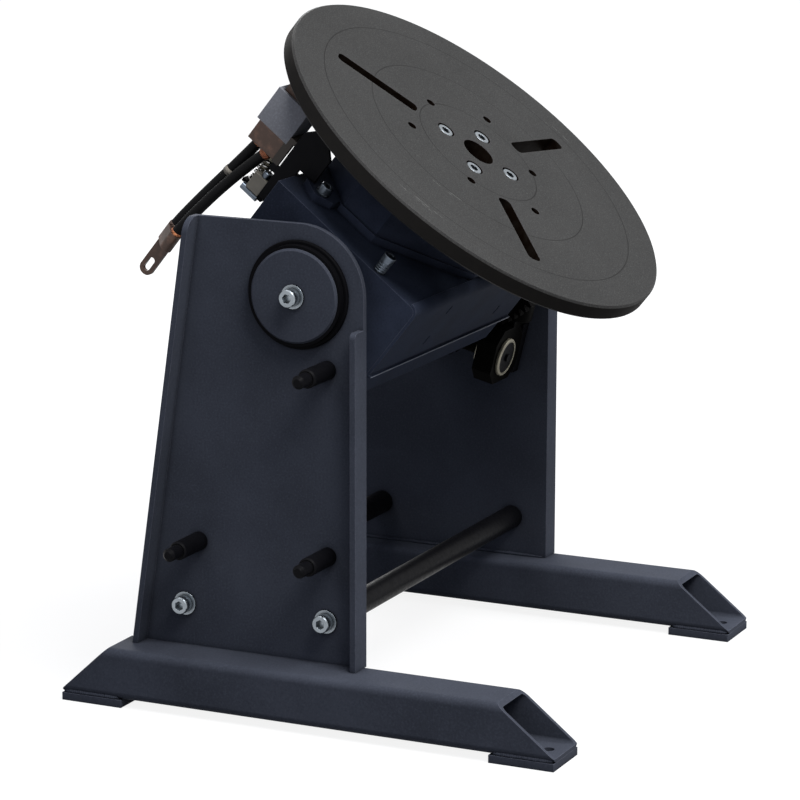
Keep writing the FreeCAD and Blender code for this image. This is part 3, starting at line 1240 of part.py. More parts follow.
near_x = ex + D.lead_near
far_x = ex + D.lead_far
near_end = ev + 38
far_end = ev + 47.5
cord(far_x, D.lead_r, [
    (ev + 28.5, holder_low), (ev + 33, 25), (ev + 40.5, -18), (far_end, D.lug_entry - D.lug_top),
    (far_end, -D.lug_top - D.lead_over)], "outer_earth_lead")
cord(near_x, D.lead_r, [
    (ev + 12.5, holder_low), (ev + 21.5, 27), (ev + 31.5, -20), (near_end, D.lug_entry - D.lug_top),
    (near_end, -D.lug_top - D.lead_over)], "inner_earth_lead")
barrel_low = -D.lug_top - D.lug_barrel
barrel_r = D.lead_r + D.lug_wall
lead_step = math.hypot((far_x - near_x).number, (far_end - near_end).number)
barrel_turn = math.degrees(math.atan2((far_end - near_end).number, (far_x - near_x).number))
bridge = pad("xy", [(0, -barrel_r), (lead_step, -barrel_r), (lead_step, barrel_r), (0, barrel_r)],
             0, D.lug_barrel)
place(bridge, (near_x, near_end, barrel_low), FreeCAD.Rotation(FreeCAD.Vector(0, 0, 1), barrel_turn))
lug_v = (near_end + far_end) / 2
lug_x = (near_x + far_x) / 2 - D.lug_t / 2
lug_half = D.lug_w / 2
tongue_low = barrel_low - D.lug_tongue
tongue_plate = pad("yz", [
    (lug_v - lug_half, barrel_low), (lug_v - lug_half, tongue_low, 7.5),
    (lug_v + lug_half, tongue_low, 7.5), (lug_v + lug_half, barrel_low)], lug_x, D.lug_t)
eye_half = D.eye_w / 2
eye_low = tongue_low + (D.lug_w - D.eye_w) / 2
eye = pad("yz", [
    (lug_v - eye_half, eye_low, 3.3), (lug_v + eye_half, eye_low, 3.3),
    (lug_v + eye_half, eye_low + D.eye_len, 3.3), (lug_v - eye_half, eye_low + D.eye_len, 3.3)],
    lug_x, D.lug_t)
node("cable_lug", fuse(
    rod(barrel_r, D.lug_barrel, (near_x, near_end, barrel_low)),
    rod(barrel_r, D.lug_barrel, (far_x, far_end, barrel_low)),
    bridge, cut(tongue_plate, eye)), frame="cradle")

doc.recompute()

problems = []
for obj in doc.Objects:
    if "Invalid" in obj.State or "Error" in obj.State:
        problems.append("%s %s %s" % (obj.Name, obj.Label, obj.State))
for label, obj in nodes.items():
    shape = obj.Shape
    if shape.isNull() or not shape.isValid() or not shape.Solids:
        problems.append("bad shape: %s" % label)
    for index, piece in enumerate(shape.Solids):
        if piece.Volume < 1:
            problems.append("tiny solid %d in %s: %.3f" % (index, label, piece.Volume))
if problems:
    raise RuntimeError("; ".join(problems))

os.makedirs("parts", exist_ok=True)
for label, obj in nodes.items():
    obj.Shape.exportStep("parts/%s.step" % label)
    bound = obj.Shape.BoundBox
    print("%-22s %3d solids  X %7.1f %7.1f  Y %7.1f %7.1f  Z %7.1f %7.1f" % (
        label, len(obj.Shape.Solids), bound.XMin, bound.XMax, bound.YMin, bound.YMax,
        bound.ZMin, bound.ZMax))
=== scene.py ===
import json
import math
import random

import bmesh
import bpy
from mathutils import Matrix, Vector


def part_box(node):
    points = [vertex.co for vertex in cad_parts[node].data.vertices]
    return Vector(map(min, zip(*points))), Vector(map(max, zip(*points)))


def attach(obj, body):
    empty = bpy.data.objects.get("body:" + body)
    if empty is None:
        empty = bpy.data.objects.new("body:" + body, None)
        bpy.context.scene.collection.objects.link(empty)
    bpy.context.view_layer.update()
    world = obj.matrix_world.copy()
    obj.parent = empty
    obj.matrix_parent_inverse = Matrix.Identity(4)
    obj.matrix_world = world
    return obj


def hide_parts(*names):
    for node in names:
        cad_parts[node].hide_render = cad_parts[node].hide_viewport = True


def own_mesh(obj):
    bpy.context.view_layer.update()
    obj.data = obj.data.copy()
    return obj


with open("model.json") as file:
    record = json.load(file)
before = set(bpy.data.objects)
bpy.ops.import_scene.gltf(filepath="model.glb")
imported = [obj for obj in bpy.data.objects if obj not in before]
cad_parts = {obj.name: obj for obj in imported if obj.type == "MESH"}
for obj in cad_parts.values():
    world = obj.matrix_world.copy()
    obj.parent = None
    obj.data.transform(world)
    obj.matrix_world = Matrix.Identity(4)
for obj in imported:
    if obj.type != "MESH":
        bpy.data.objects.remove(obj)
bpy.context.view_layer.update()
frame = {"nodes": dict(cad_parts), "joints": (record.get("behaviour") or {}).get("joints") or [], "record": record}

nodes = frame["nodes"]
slot_of = {part["node"]: part["material_slot"] for part in frame["record"]["subparts"]}
joints = {joint["name"]: joint for joint in frame["joints"]}

MM = 0.001

# The cradle leans forward about the tilt axis: X along that axis, Z square to the table
TILT_REST = math.radians(38.5)
TILT_AXIS = Vector(joints["tilt"]["pos_m"])
CRADLE = Matrix.Translation(TILT_AXIS) @ Matrix.Rotation(TILT_REST, 4, "X")


def cradle_point(x, v, z):
    """A point of the cradle in millimetres, as a place in the row frame."""
    return CRADLE @ (Vector((x, v, z)) * MM)


# Node building

def new_material(name, roughness, metallic=0.0, specular=0.5):
    """A material with its shader, and the object coordinates that its textures use."""
    material = bpy.data.materials.new(name)
    material.use_nodes = True
    tree = material.node_tree
    shader = tree.nodes["Principled BSDF"]
    shader.inputs["Roughness"].default_value = roughness
    shader.inputs["Metallic"].default_value = metallic
    shader.inputs["Specular IOR Level"].default_value = specular
    coords = tree.nodes.new("ShaderNodeTexCoord")
    return material, tree, shader, coords.outputs["Object"]


def add(tree, kind, inputs=None, **settings):
    """One node with its settings and its inputs, each a number, a colour or a node's output."""
    made = tree.nodes.new(kind)
    for key, value in settings.items():
        setattr(made, key, value)
    for key, value in (inputs or {}).items():
        if isinstance(value, bpy.types.NodeSocket):
            tree.links.new(value, made.inputs[key])
        else:
            made.inputs[key].default_value = value
    return made


def math_of(tree, operation, first, second=0.0):
    return add(tree, "ShaderNodeMath", {0: first, 1: second}, operation=operation).outputs[0]


def highest(tree, masks):
    """The highest of several masks at each point."""
    top = masks[0]
    for mask in masks[1:]:
        top = math_of(tree, "MAXIMUM", top, mask)
    return top


def dot_of(tree, first, second):
    return add(tree, "ShaderNodeVectorMath", {0: first, 1: second},
               operation="DOT_PRODUCT").outputs["Value"]


def length_of(tree, vector):
    return add(tree, "ShaderNodeVectorMath", {0: vector}, operation="LENGTH").outputs["Value"]


def noise_of(tree, coords, scale, detail=3.0, roughness=0.55, stretch=(1, 1, 1)):
    place = add(tree, "ShaderNodeMapping", {"Vector": coords, "Scale": stretch}).outputs["Vector"]
    return add(tree, "ShaderNodeTexNoise", {
        "Vector": place, "Scale": scale, "Detail": detail, "Roughness": roughness}).outputs["Fac"]


def ramp(tree, value, low, high, out_low=0.0, out_high=1.0):
    """Maps value from the range low..high onto out_low..out_high, clamped."""
    return add(tree, "ShaderNodeMapRange", {
        "Value": value, "From Min": low, "From Max": high, "To Min": out_low, "To Max": out_high},
        clamp=True).outputs["Result"]


def blend_colour(tree, factor, first, second):
    """The first colour where factor is 0, the second where it is 1."""
    mix = tree.nodes.new("ShaderNodeMix")
    mix.data_type = "RGBA"
    for index, value in ((0, factor), (6, first), (7, second)):
        if isinstance(value, bpy.types.NodeSocket):
            tree.links.new(value, mix.inputs[index])
        else:
            mix.inputs[index].default_value = value if index == 0 else (*value, 1)
    return mix.outputs[2]


# How far a normal has to turn before an edge starts to show, and where it shows in full
EDGE_TURN = (0.02, 0.16)

# The share of open space round a point below which it is a gap, and above which it is in the open
OPENNESS = (0.35, 0.9)


def edge_mask(tree, radius):
    """White along edges, where a rounded normal leaves the flat one, and the rounded normal."""
    rounded = add(tree, "ShaderNodeBevel", {"Radius": radius}, samples=6).outputs["Normal"]
    flat = add(tree, "ShaderNodeNewGeometry").outputs["Normal"]
    turned = math_of(tree, "SUBTRACT", 1.0, dot_of(tree, rounded, flat))
    return ramp(tree, turned, *EDGE_TURN), rounded


def crevices(tree, reach, dark=0.35):
    """Below 1 in narrow gaps and corners: painted shade where the surroundings close in."""
    opening = add(tree, "ShaderNodeAmbientOcclusion", {"Distance": reach}, samples=4).outputs["AO"]
    return ramp(tree, opening, *OPENNESS, dark, 1.0)


def set_colour(tree, shader, colour):
    tree.links.new(colour, shader.inputs["Base Color"])


def set_roughness(tree, shader, pattern, at_low, at_high):
    """Uneven shine: the roughness follows the middle range of a noise."""
    tree.links.new(ramp(tree, pattern, 0.3, 0.7, at_low, at_high), shader.inputs["Roughness"])


def set_bump(tree, shader, height, strength, distance, normal):
    made = add(tree, "ShaderNodeBump", {
        "Height": height, "Strength": strength, "Distance": distance, "Normal": normal})
    tree.links.new(made.outputs["Normal"], shader.inputs["Normal"])


def scaled(colour, factor):
    return tuple(min(1.0, c * factor) for c in colour)


# Finishes. Distances are in metres, and noise scales in waves per metre.

PAINT_EDGE = 0.0008
FINE_EDGE = 0.0006
TABLE_EDGE = 0.0009
# How far the painted shade in gaps and corners reaches, for paint and for metal
PAINT_GAP = 0.007
METAL_GAP = 0.004


def paint(name, colour, edge_wear_and_highlight, roughness=0.6, specular=0.02, mottle=1.15):
    """Powder coat: orange peel, faint clouds and dust, scuffs, paler edges that are partly wear and partly painted
    highlight, and painted shade in corners.
    """
    material, tree, shader, coords = new_material(name, roughness, specular=specular)
    clouds = noise_of(tree, coords, 9, detail=4)
    speckle = noise_of(tree, coords, 480, detail=2)
    scuffs = noise_of(tree, coords, 26, detail=6, roughness=0.7, stretch=(1, 0.25, 1))
    patches = noise_of(tree, coords, 60, detail=3)
    peel = noise_of(tree, coords, 900, detail=1)

    dark, light, dust, grit, scuff, painted_gap_shade = (
        scaled(colour, factor) for factor in (1 / mottle, mottle, 1.9, 0.45, 1.7, 0.15))
    base = blend_colour(tree, ramp(tree, clouds, 0.35, 0.65), dark, light)
    dusty = blend_colour(tree, ramp(tree, speckle, 0.52, 0.72, 0, 0.22), base, dust)
    grainy = blend_colour(tree, ramp(tree, speckle, 0.28, 0.46, 0.22, 0), dusty, grit)
    scuffed = blend_colour(tree, ramp(tree, scuffs, 0.62, 0.8, 0, 0.35), grainy, scuff)
    # Paler edges: partly wear, partly painted highlight where the edges catch the light
    mask, rounded = edge_mask(tree, PAINT_EDGE)
    patchy = math_of(tree, "MULTIPLY", mask, ramp(tree, patches, 0.3, 0.7, 0.35, 0.9))
    edged = blend_colour(tree, patchy, scuffed, edge_wear_and_highlight)

    # Gaps and corners darken toward a small share of the colour: painted shade
    set_colour(tree, shader, blend_colour(tree, crevices(tree, PAINT_GAP), painted_gap_shade, edged))
    set_roughness(tree, shader, clouds, roughness - 0.05, roughness + 0.07)
    set_bump(tree, shader, peel, 0.12, 0.0003, rounded)
    return material


def metal(name, colour, roughness, metallic=1.0, specular=0.5):
    """Machined or plated metal: fine grain, uneven shine, a little staining and painted black shade in corners."""
    material, tree, shader, coords = new_material(name, roughness, metallic, specular)
    grain = noise_of(tree, coords, 260, detail=3, roughness=0.6)
    clouds = noise_of(tree, coords, 45, detail=4)
    stain, rubbed, painted_gap_shade = (scaled(colour, factor) for factor in (0.75, 1.3, 0.1))
    base = blend_colour(tree, ramp(tree, clouds, 0.35, 0.7), colour, stain)
    mask, rounded = edge_mask(tree, FINE_EDGE)
    edged = blend_colour(tree, mask, base, rubbed)
    # Gaps and corners go black: painted shade
    gaps = crevices(tree, METAL_GAP, dark=0.0)
    set_colour(tree, shader, blend_colour(tree, gaps, painted_gap_shade, edged))
    set_roughness(tree, shader, grain, roughness - 0.08, roughness + 0.12)
    set_bump(tree, shader, grain, 0.12, 0.0002, rounded)
    return material


def plastic(name, colour, roughness=0.5, specular=0.3, grain=700, depth=0.15):
    """Moulded plastic or rubber: a fine grain and slightly uneven shine, with rubbed edges."""
    material, tree, shader, coords = new_material(name, roughness, specular=specular)
    clouds = noise_of(tree, coords, 30, detail=3)
    base = blend_colour(tree, clouds, colour, scaled(colour, 1.5))
    mask, rounded = edge_mask(tree, FINE_EDGE)
    rubbed = blend_colour(tree, ramp(tree, mask, 0, 1, 0, 0.4), base, scaled(colour, 2.5))
    set_colour(tree, shader, rubbed)
    set_roughness(tree, shader, clouds, roughness - 0.06, roughness + 0.08)
    set_bump(tree, shader, noise_of(tree, coords, grain, detail=2), depth, 0.0002, rounded)
    return material


def copper_finish(name, colour, bright, metallic, low=0.5, high=0.68):
    """Handled copper: brown oxide with brighter worn spots and rubbed edges."""
    material, tree, shader, coords = new_material(name, 0.42, metallic, 0.4)
    patches = noise_of(tree, coords, 90, detail=5, roughness=0.65)
    base = blend_colour(tree, ramp(tree, patches, low, high), colour, bright)
    mask, rounded = edge_mask(tree, FINE_EDGE)
    set_colour(tree, shader, blend_colour(tree, ramp(tree, mask, 0, 1, 0, 0.5), base, bright))
    set_roughness(tree, shader, patches, 0.55, 0.36)
    set_bump(tree, shader, noise_of(tree, coords, 300, detail=3), 0.2, 0.0003, rounded)
    return material


# The table's scribed circles: their radii in millimetres
SCRIBED = (71.9, 129.8, 187.3)

# Its scratches, arcs round the middle: radius in millimetres, then the direction of the arc's
# middle and half its span in degrees
SCRATCHES = ((198.5, -172, 6), (195.0, -168, 5), (135.0, -170, 6), (131.5, -161, 5),
             (190.5, 4, 5), (196.0, -4, 4))

# Its tool marks in radians per metre: one mark in 1.2 mm
TOOL_MARKS = 5200.0

# Slot and hole walls lie within the first of these distances from the middle, the rim beyond both
RIM = (0.19, 0.20)

# How far off its middle a scribed line or a scratch is full, and where it is gone
SCRIBED_WIDTH = (0.0004, 0.0008)
SCRATCH_WIDTH = (0.0001, 0.0005)

# How fast a scratch fades at its ends, as a change of the cosine of its direction
SCRATCH_FADE = 0.0008

# The table's colours: its face with the flecks and pits in it, its marks, its walls and edges
FACE_DARK, FACE_LIGHT = (0.015, 0.015, 0.015), (0.0215, 0.0215, 0.0213)
FLECK, PIT = (0.049, 0.049, 0.0475), (0.010, 0.010, 0.010)
GROOVE, BARE = (0.005, 0.005, 0.005), (0.20, 0.20, 0.19)
SLOT_WALL, RIM_WALL = (0.006, 0.0035, 0.0022), (0.018, 0.0168, 0.0155)
WALL_STAIN = (0.026, 0.023, 0.020)
TABLE_RUBBED = (0.13, 0.125, 0.12)


def ring_line(tree, reach, radius, full, gone):
    """A circle round the table's middle: white up to full metres off its radius, fading to gone."""
    off = math_of(tree, "ABSOLUTE", math_of(tree, "SUBTRACT", reach, radius * MM))
    return ramp(tree, off, full, gone, 1, 0)


def scratch_line(tree, flat, reach, radius, middle, half):
    """An arc of such a circle, finer, as long as the scratch."""
    toward = (math.cos(math.radians(middle)), math.sin(math.radians(middle)), 0)
    aside = math_of(tree, "DIVIDE", dot_of(tree, flat, toward), reach)
    end = math.cos(math.radians(half))
    near = ramp(tree, aside, end - SCRATCH_FADE, end + SCRATCH_FADE)
    return math_of(tree, "MULTIPLY", near, ring_line(tree, reach, radius, *SCRATCH_WIDTH))


def table_finish():
    """Blackened turned plate: grain, tool marks, scribed circles, scratches, dark rim and slots."""
    material, tree, shader, coords = new_material("table_black", 0.5, specular=0.08)
    grain = noise_of(tree, coords, 700, detail=3, roughness=0.7)
    clouds = noise_of(tree, coords, 7, detail=5, roughness=0.6)
    wear = noise_of(tree, coords, 160, detail=3)
    stains = noise_of(tree, coords, 90, detail=4)
    shine = noise_of(tree, coords, 14, detail=2)

    # Where a point lies on the table, seen square to it, and which way its surface faces
    to_cradle = CRADLE.inverted()
    across = [math_of(tree, "ADD", dot_of(tree, coords, tuple(row[:3])), row[3])
              for row in to_cradle[:2]]
    flat = add(tree, "ShaderNodeCombineXYZ", {"X": across[0], "Y": across[1]}).outputs[0]
    reach = length_of(tree, flat)
    normal = tree.nodes["Texture Coordinate"].outputs["Normal"]
    facing = dot_of(tree, normal, tuple(to_cradle[2][:3]))
    face = ramp(tree, facing, 0.3, 0.8)
    back = ramp(tree, facing, -0.8, -0.3, 1, 0)
    flats = math_of(tree, "MAXIMUM", face, back)

    plain = blend_colour(tree, ramp(tree, clouds, 0.35, 0.7), FACE_DARK, FACE_LIGHT)
    flecked = blend_colour(tree, ramp(tree, grain, 0.5, 0.72, 0, 0.9), plain, FLECK)
    pitted = blend_colour(tree, ramp(tree, grain, 0.3, 0.45, 0.8, 0), flecked, PIT)

    circles = highest(tree, [ring_line(tree, reach, radius, *SCRIBED_WIDTH) for radius in SCRIBED])
    lines = math_of(tree, "MULTIPLY", circles, face)
    arcs = highest(tree, [scratch_line(tree, flat, reach, *scratch) for scratch in SCRATCHES])
    broken = math_of(tree, "MULTIPLY", arcs, ramp(tree, wear, 0.42, 0.58))
    scratches = math_of(tree, "MULTIPLY", broken, face)
    scribed = blend_colour(tree, math_of(tree, "MULTIPLY", lines, 0.9), pitted, GROOVE)
    marked = blend_colour(tree, math_of(tree, "MULTIPLY", scratches, 0.55), scribed, BARE)

    walls = blend_colour(tree, ramp(tree, reach, *RIM), SLOT_WALL, RIM_WALL)
    stained = blend_colour(tree, ramp(tree, stains, 0.45, 0.75, 0, 0.3), walls, WALL_STAIN)
    whole = blend_colour(tree, flats, stained, marked)
    mask, rounded = edge_mask(tree, TABLE_EDGE)
    set_colour(tree, shader,
               blend_colour(tree, ramp(tree, mask, 0, 1, 0, 0.35), whole, TABLE_RUBBED))
    set_roughness(tree, shader, shine, 0.46, 0.6)
    tree.links.new(ramp(tree, flats, 0, 1, 0.005, 0.08), shader.inputs["Specular IOR Level"])

    marks = math_of(tree, "SINE", math_of(tree, "MULTIPLY", reach, TOOL_MARKS))
    height = math_of(tree, "ADD", ramp(tree, marks, -1, 1, 0, 0.25), grain)
    cut = math_of(tree, "SUBTRACT", height, math_of(tree, "MULTIPLY", lines, 2.0))
    set_bump(tree, shader, cut, 0.14, 0.0003, rounded)
    return material


materials = {
    "frame_paint": paint("frame_paint", (0.047, 0.052, 0.067), (0.15, 0.16, 0.20)),
    # A darker copy of the frame paint: painted shade for the cradle under the table
    "shaded_frame_paint": paint("shaded_frame_paint", (0.022, 0.027, 0.042), (0.11, 0.12, 0.16),
                          specular=0.01, mottle=1.5),
    "housing_paint": paint("housing_paint", (0.024, 0.029, 0.045), (0.075, 0.085, 0.12),
                           roughness=0.55, mottle=1.9),
    "table_black": table_finish(),
    "black_steel": metal("black_steel", (0.0036, 0.0036, 0.0046), 0.42,
                         metallic=0.0, specular=0.045),
    "zinc": metal("zinc", (0.27, 0.30, 0.33), 0.26),
    # A darker copy of zinc: painted shade for screws that lie in shade
    "shaded_zinc": metal("shaded_zinc", (0.11, 0.13, 0.16), 0.32),
    "bush_plastic": plastic("bush_plastic", (0.0028, 0.0028, 0.0034), specular=0.02),
    # Its paler edges stand in for the gearbox's edge highlights: painted highlight
    "motor_black": paint("motor_black", (0.0014, 0.0013, 0.0012), (0.03, 0.03, 0.031),
                         roughness=0.5, specular=0.012, mottle=1.1),
    # Near black: blackened steel, and painted shade for the gear parts under the table
    "dark_gear": metal("dark_gear", (0.0022, 0.0020, 0.0020), 0.6, metallic=0.0, specular=0.01),
    "gear_steel": metal("gear_steel", (0.34, 0.33, 0.31), 0.3),
    "ring_steel": metal("ring_steel", (0.27, 0.25, 0.19), 0.45, metallic=0.5),
    "copper": copper_finish("copper", (0.050, 0.029, 0.021), (0.115, 0.062, 0.043), metallic=0.15),
    "bare_copper": copper_finish("bare_copper", (0.15, 0.046, 0.020), (0.50, 0.19, 0.08),
                                 metallic=0.5, low=0.45, high=0.66),
    "sheet_grey": paint("sheet_grey", (0.20, 0.205, 0.225), (0.32, 0.33, 0.36),
                        roughness=0.5, specular=0.1),
    "clamp_steel": metal("clamp_steel", (0.17, 0.158, 0.135), 0.5, metallic=0.1, specular=0.12),
    "insulator": plastic("insulator", (0.014, 0.011, 0.009), roughness=0.55),
    "cable_rubber": plastic("cable_rubber", (0.0042, 0.0042, 0.0045), roughness=0.62,
                            specular=0.07, grain=150, depth=0.9),
    "spring_steel": metal("spring_steel", (0.5, 0.5, 0.5), 0.25),
    # A pale paint for the cover lip's bead: painted highlight
    "painted_highlight_edge": paint("painted_highlight_edge", (0.14, 0.15, 0.18), (0.24, 0.25, 0.28),
                         roughness=0.5, specular=0.1, mottle=1.3),
    "tape": plastic("tape", (0.17, 0.155, 0.13), roughness=0.7),
}

# Nodes given a darker finish than their slot's own: painted shade, for the cradle under the table and for screws
# in shade
SHADED = {"cradle_frame": "shaded_frame_paint", "front_cover": "shaded_frame_paint",
          "shaft_end_screw": "black_steel", "base_screws": "shaded_zinc",
          "clamp_screws": "shaded_zinc"}

for name, obj in nodes.items():
    obj.data.materials.clear()
    obj.data.materials.append(materials[SHADED.get(name, slot_of[name])])


# Camera, as solved from the photo: angles in radians, place in metres

LOOK_TURN = 0.438
LOOK_DOWN = 0.219
ROLL = -0.002
CAMERA_AT = Vector((-3.2421, -1.4989, 1.0778))
FOCAL_PIXELS = 3537.7
PHOTO_PIXELS = 800

forward = Vector((math.cos(LOOK_DOWN) * math.cos(LOOK_TURN),
                  math.cos(LOOK_DOWN) * math.sin(LOOK_TURN),
                  -math.sin(LOOK_DOWN)))
level = Vector((math.sin(LOOK_TURN), -math.cos(LOOK_TURN), 0))
down = forward.cross(level)
right = math.cos(ROLL) * level + math.sin(ROLL) * down
up = -(-math.sin(ROLL) * level + math.cos(ROLL) * down)
camera_data = bpy.data.cameras.new("camera")
camera_data.sensor_width = 36
camera_data.lens = FOCAL_PIXELS / PHOTO_PIXELS * camera_data.sensor_width
camera_data.clip_end = 200
camera = bpy.data.objects.new("camera", camera_data)
turned = Matrix((right, up, -forward)).transposed().to_4x4()
camera.matrix_world = Matrix.Translation(CAMERA_AT) @ turned
bpy.context.scene.collection.objects.link(camera)
bpy.context.scene.camera = camera


# The two earth leads: each lies in a plane across X, its points in the cradle's V and Z

LEAD_DIAMETER = 11.4 * MM
LEADS = {
    "outer_earth_lead":
        (-146, [(147.0, 58.5), (151.5, 25), (159.0, -18), (166.0, -69), (166.0, -77)]),
    "inner_earth_lead":
        (-157, [(131.0, 58.5), (140.0, 27), (150.0, -20), (156.5, -69), (156.5, -77)]),
}


def lead(name, plane, route):
    """One lead's rubber jacket along the solid's own route. Gives the route's points."""
    points = [cradle_point(plane, v, z) for v, z in route]
    curve = bpy.data.curves.new(name + "_jacket", "CURVE")
    curve.dimensions = "3D"
    spline = curve.splines.new("NURBS")
    spline.points.add(len(points) - 1)
    for knot, point in zip(spline.points, points):
        knot.co = (*point, 1)
    spline.order_u = 3
    spline.use_endpoint_u = True
    curve.bevel_depth = LEAD_DIAMETER / 2
    curve.bevel_resolution = 6
    spline.resolution_u = 24
    obj = bpy.data.objects.new(name + "_jacket", curve)
    bpy.context.scene.collection.objects.link(obj)
    obj.data.materials.append(materials["cable_rubber"])
    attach(obj, "cradle")
    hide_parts(name)
    return points


lead_points = {name: lead(name, plane, route) for name, (plane, route) in LEADS.items()}


# Mesh pieces

def piece(name, bm, slot, body, material=None):
    """A smooth mesh piece that rides on a body, in its slot's finish unless another is named."""
    mesh = bpy.data.meshes.new(name)
    bmesh.ops.recalc_face_normals(bm, faces=bm.faces)
    bm.to_mesh(mesh)
    bm.free()
    for face in mesh.polygons:
        face.use_smooth = True
    obj = bpy.data.objects.new(name, mesh)
    bpy.context.scene.collection.objects.link(obj)
    obj.data.materials.append(materials[material or slot])
    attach(obj, body)
    return obj


def sideways(along):
    """Two directions square to a unit vector and to each other."""
    across = along.orthogonal().normalized()
    return across, along.cross(across)


def around(angle, across, other):
    """The direction at an angle from across toward other."""
    return math.cos(angle) * across + math.sin(angle) * other


def tube(bm, path, radii, sides):
    """A closed tube along a path, with a radius at each of its points."""
    rings = []
    for i, point in enumerate(path):
        along = (path[min(i + 1, len(path) - 1)] - path[max(i - 1, 0)]).normalized()
        first = along.orthogonal() if not rings else (across - along * across.dot(along))
        across = first.normalized()
        other = along.cross(across)
        turns = [2 * math.pi * k / sides for k in range(sides)]
        rings.append([bm.verts.new(point + radii[i] * around(turn, across, other))
                      for turn in turns])
    for before, after in zip(rings, rings[1:]):
        for k in range(sides):
            n = (k + 1) % sides
            bm.faces.new((before[k], before[n], after[n], after[k]))
    bm.faces.new(rings[0])
    bm.faces.new(reversed(rings[-1]))


# The bare strands: their number, the steps along each, the twist in radians, how unevenly they
# lie, how far they bulge between their ends, and the wire's radius

STRAND_COUNT = 22
STRAND_STEPS = 6
STRAND_TWIST = 0.7
STRAND_SPREAD = (0.94, 1.06)
STRAND_BULGE = 0.10
STRAND_RADIUS, STRAND_TIP = 0.8 * MM, 0.5 * MM


def strands(name, start, along, length, radius, seed, finish="bare_copper"):
    """Bare wires, slightly twisted and swelling, between a jacket's end and what it goes into."""
    dice = random.Random(seed)
    along = along.normalized()
    across, other = sideways(along)
    bm = bmesh.new()
    for k in range(STRAND_COUNT):
        turn = 2 * math.pi * k / STRAND_COUNT
        swell = dice.uniform(*STRAND_SPREAD)
        path = []
        for i in range(STRAND_STEPS + 1):
            t = i / STRAND_STEPS
            reach = radius * swell * (1 + STRAND_BULGE * math.sin(math.pi * t))
            path.append(start + along * length * t
                        + reach * around(turn + STRAND_TWIST * t, across, other))
        tube(bm, path, [STRAND_RADIUS] * STRAND_STEPS + [STRAND_TIP], 6)
    piece(name, bm, "copper", "cradle", finish)


for name, points in lead_points.items():
    short = name.split("_")[0]
    strands(short + "_strands_top", points[0], points[1] - points[0],
            length=6 * MM, radius=5.25 * MM, seed=3)
    strands(short + "_strands_low", points[-1], points[-2] - points[-1],
            length=3 * MM, radius=5.2 * MM, seed=5,
            finish="copper" if short == "outer" else "bare_copper")


# The tape round the outer lead: where it sits along the run between two points of the route, its
# first angle, its turns, the share of it from which the loose end stands off, and by how many
# millimetres

TAPE_AT = 0.35
TAPE_START = 2.3
TAPE_TURNS = 1.08
TAPE_STEPS = 28
FLAP_FROM, FLAP_LIFT = 0.86, 3.0

# Its distance from the lead's middle and half its width, each at the start and how they change, and
# the waves in its edges, in millimetres
TAPE_REACH, TAPE_CLIMB = 6.0, 0.5
TAPE_HALF, TAPE_TAPER = 3.4, 1.0
TAPE_WAVE, TAPE_WAVE_RATE = 0.3, 9
TAPE_THICKNESS = 0.4 * MM


def lead_tape():
    """A loose turn of tape round the outer lead, with its end standing off."""
    a, b = lead_points["outer_earth_lead"][1:3]
    middle = a.lerp(b, TAPE_AT)
    along = (b - a).normalized()
    across, other = sideways(along)
    bm = bmesh.new()
    rows = []
    for k in range(TAPE_STEPS + 1):
        t = k / TAPE_STEPS
        angle = TAPE_START + 2 * math.pi * TAPE_TURNS * t
        lift = FLAP_LIFT * (t - FLAP_FROM) / (1 - FLAP_FROM) if t > FLAP_FROM else 0
        reach = (TAPE_REACH + TAPE_CLIMB * t + lift) * MM
        half = (TAPE_HALF - TAPE_TAPER * t + TAPE_WAVE * math.sin(TAPE_WAVE_RATE * t)) * MM
        centre = middle + reach * around(angle, across, other)
        rows.append((bm.verts.new(centre - along * half), bm.verts.new(centre + along * half)))
    for before, after in zip(rows, rows[1:]):
        bm.faces.new((before[0], before[1], after[1], after[0]))
    obj = piece("lead_tape", bm, "insulator", "cradle", "tape")
    obj.modifiers.new("thickness", "SOLIDIFY").thickness = TAPE_THICKNESS


lead_tape()


# Weld beads. Sizes in millimetres: the beams, the foot plates and where they lie from front to back

BEAM_X, BEAM_HALF, BEAM_TOP = 242, 30, 60
FOOT_T = 8
FEET = {"front": (-268, -206), "rear": (206, 268)}

# The beads' radii, and how far each one's middle line lies in from the beam's side or the plate's
# face and up from the surface under it. The bead at a foot's end has half its length given, the
# plate's bead how far short of the plate's front and rear it stops.
FOOT_BEAD, FOOT_BEAD_IN, FOOT_BEAD_UP = 2.5, 2.6, 1.6
END_BEAD, END_BEAD_HALF, END_BEAD_UP = 2.2, 22, -1
PLATE_BEAD, PLATE_BEAD_IN, PLATE_BEAD_UP = 2.2, 0.6, 0.8
PLATE_BEAD_FRONT, PLATE_BEAD_REAR = 4, 10

RIPPLE = 2.4 * MM
POINTS_IN_RIPPLE = 4
FEWEST_STEPS = 6

# As shares of a bead's radius: how far it strays, how deep and how uneven its ripples are, how
# thick its very ends are, and how fast it grows from there to its full radius
STRAY = 0.05
RIPPLE_DEPTH, RIPPLE_SCATTER = 0.10, 0.04
BEAD_END, BEAD_GROWTH = 0.45, 6


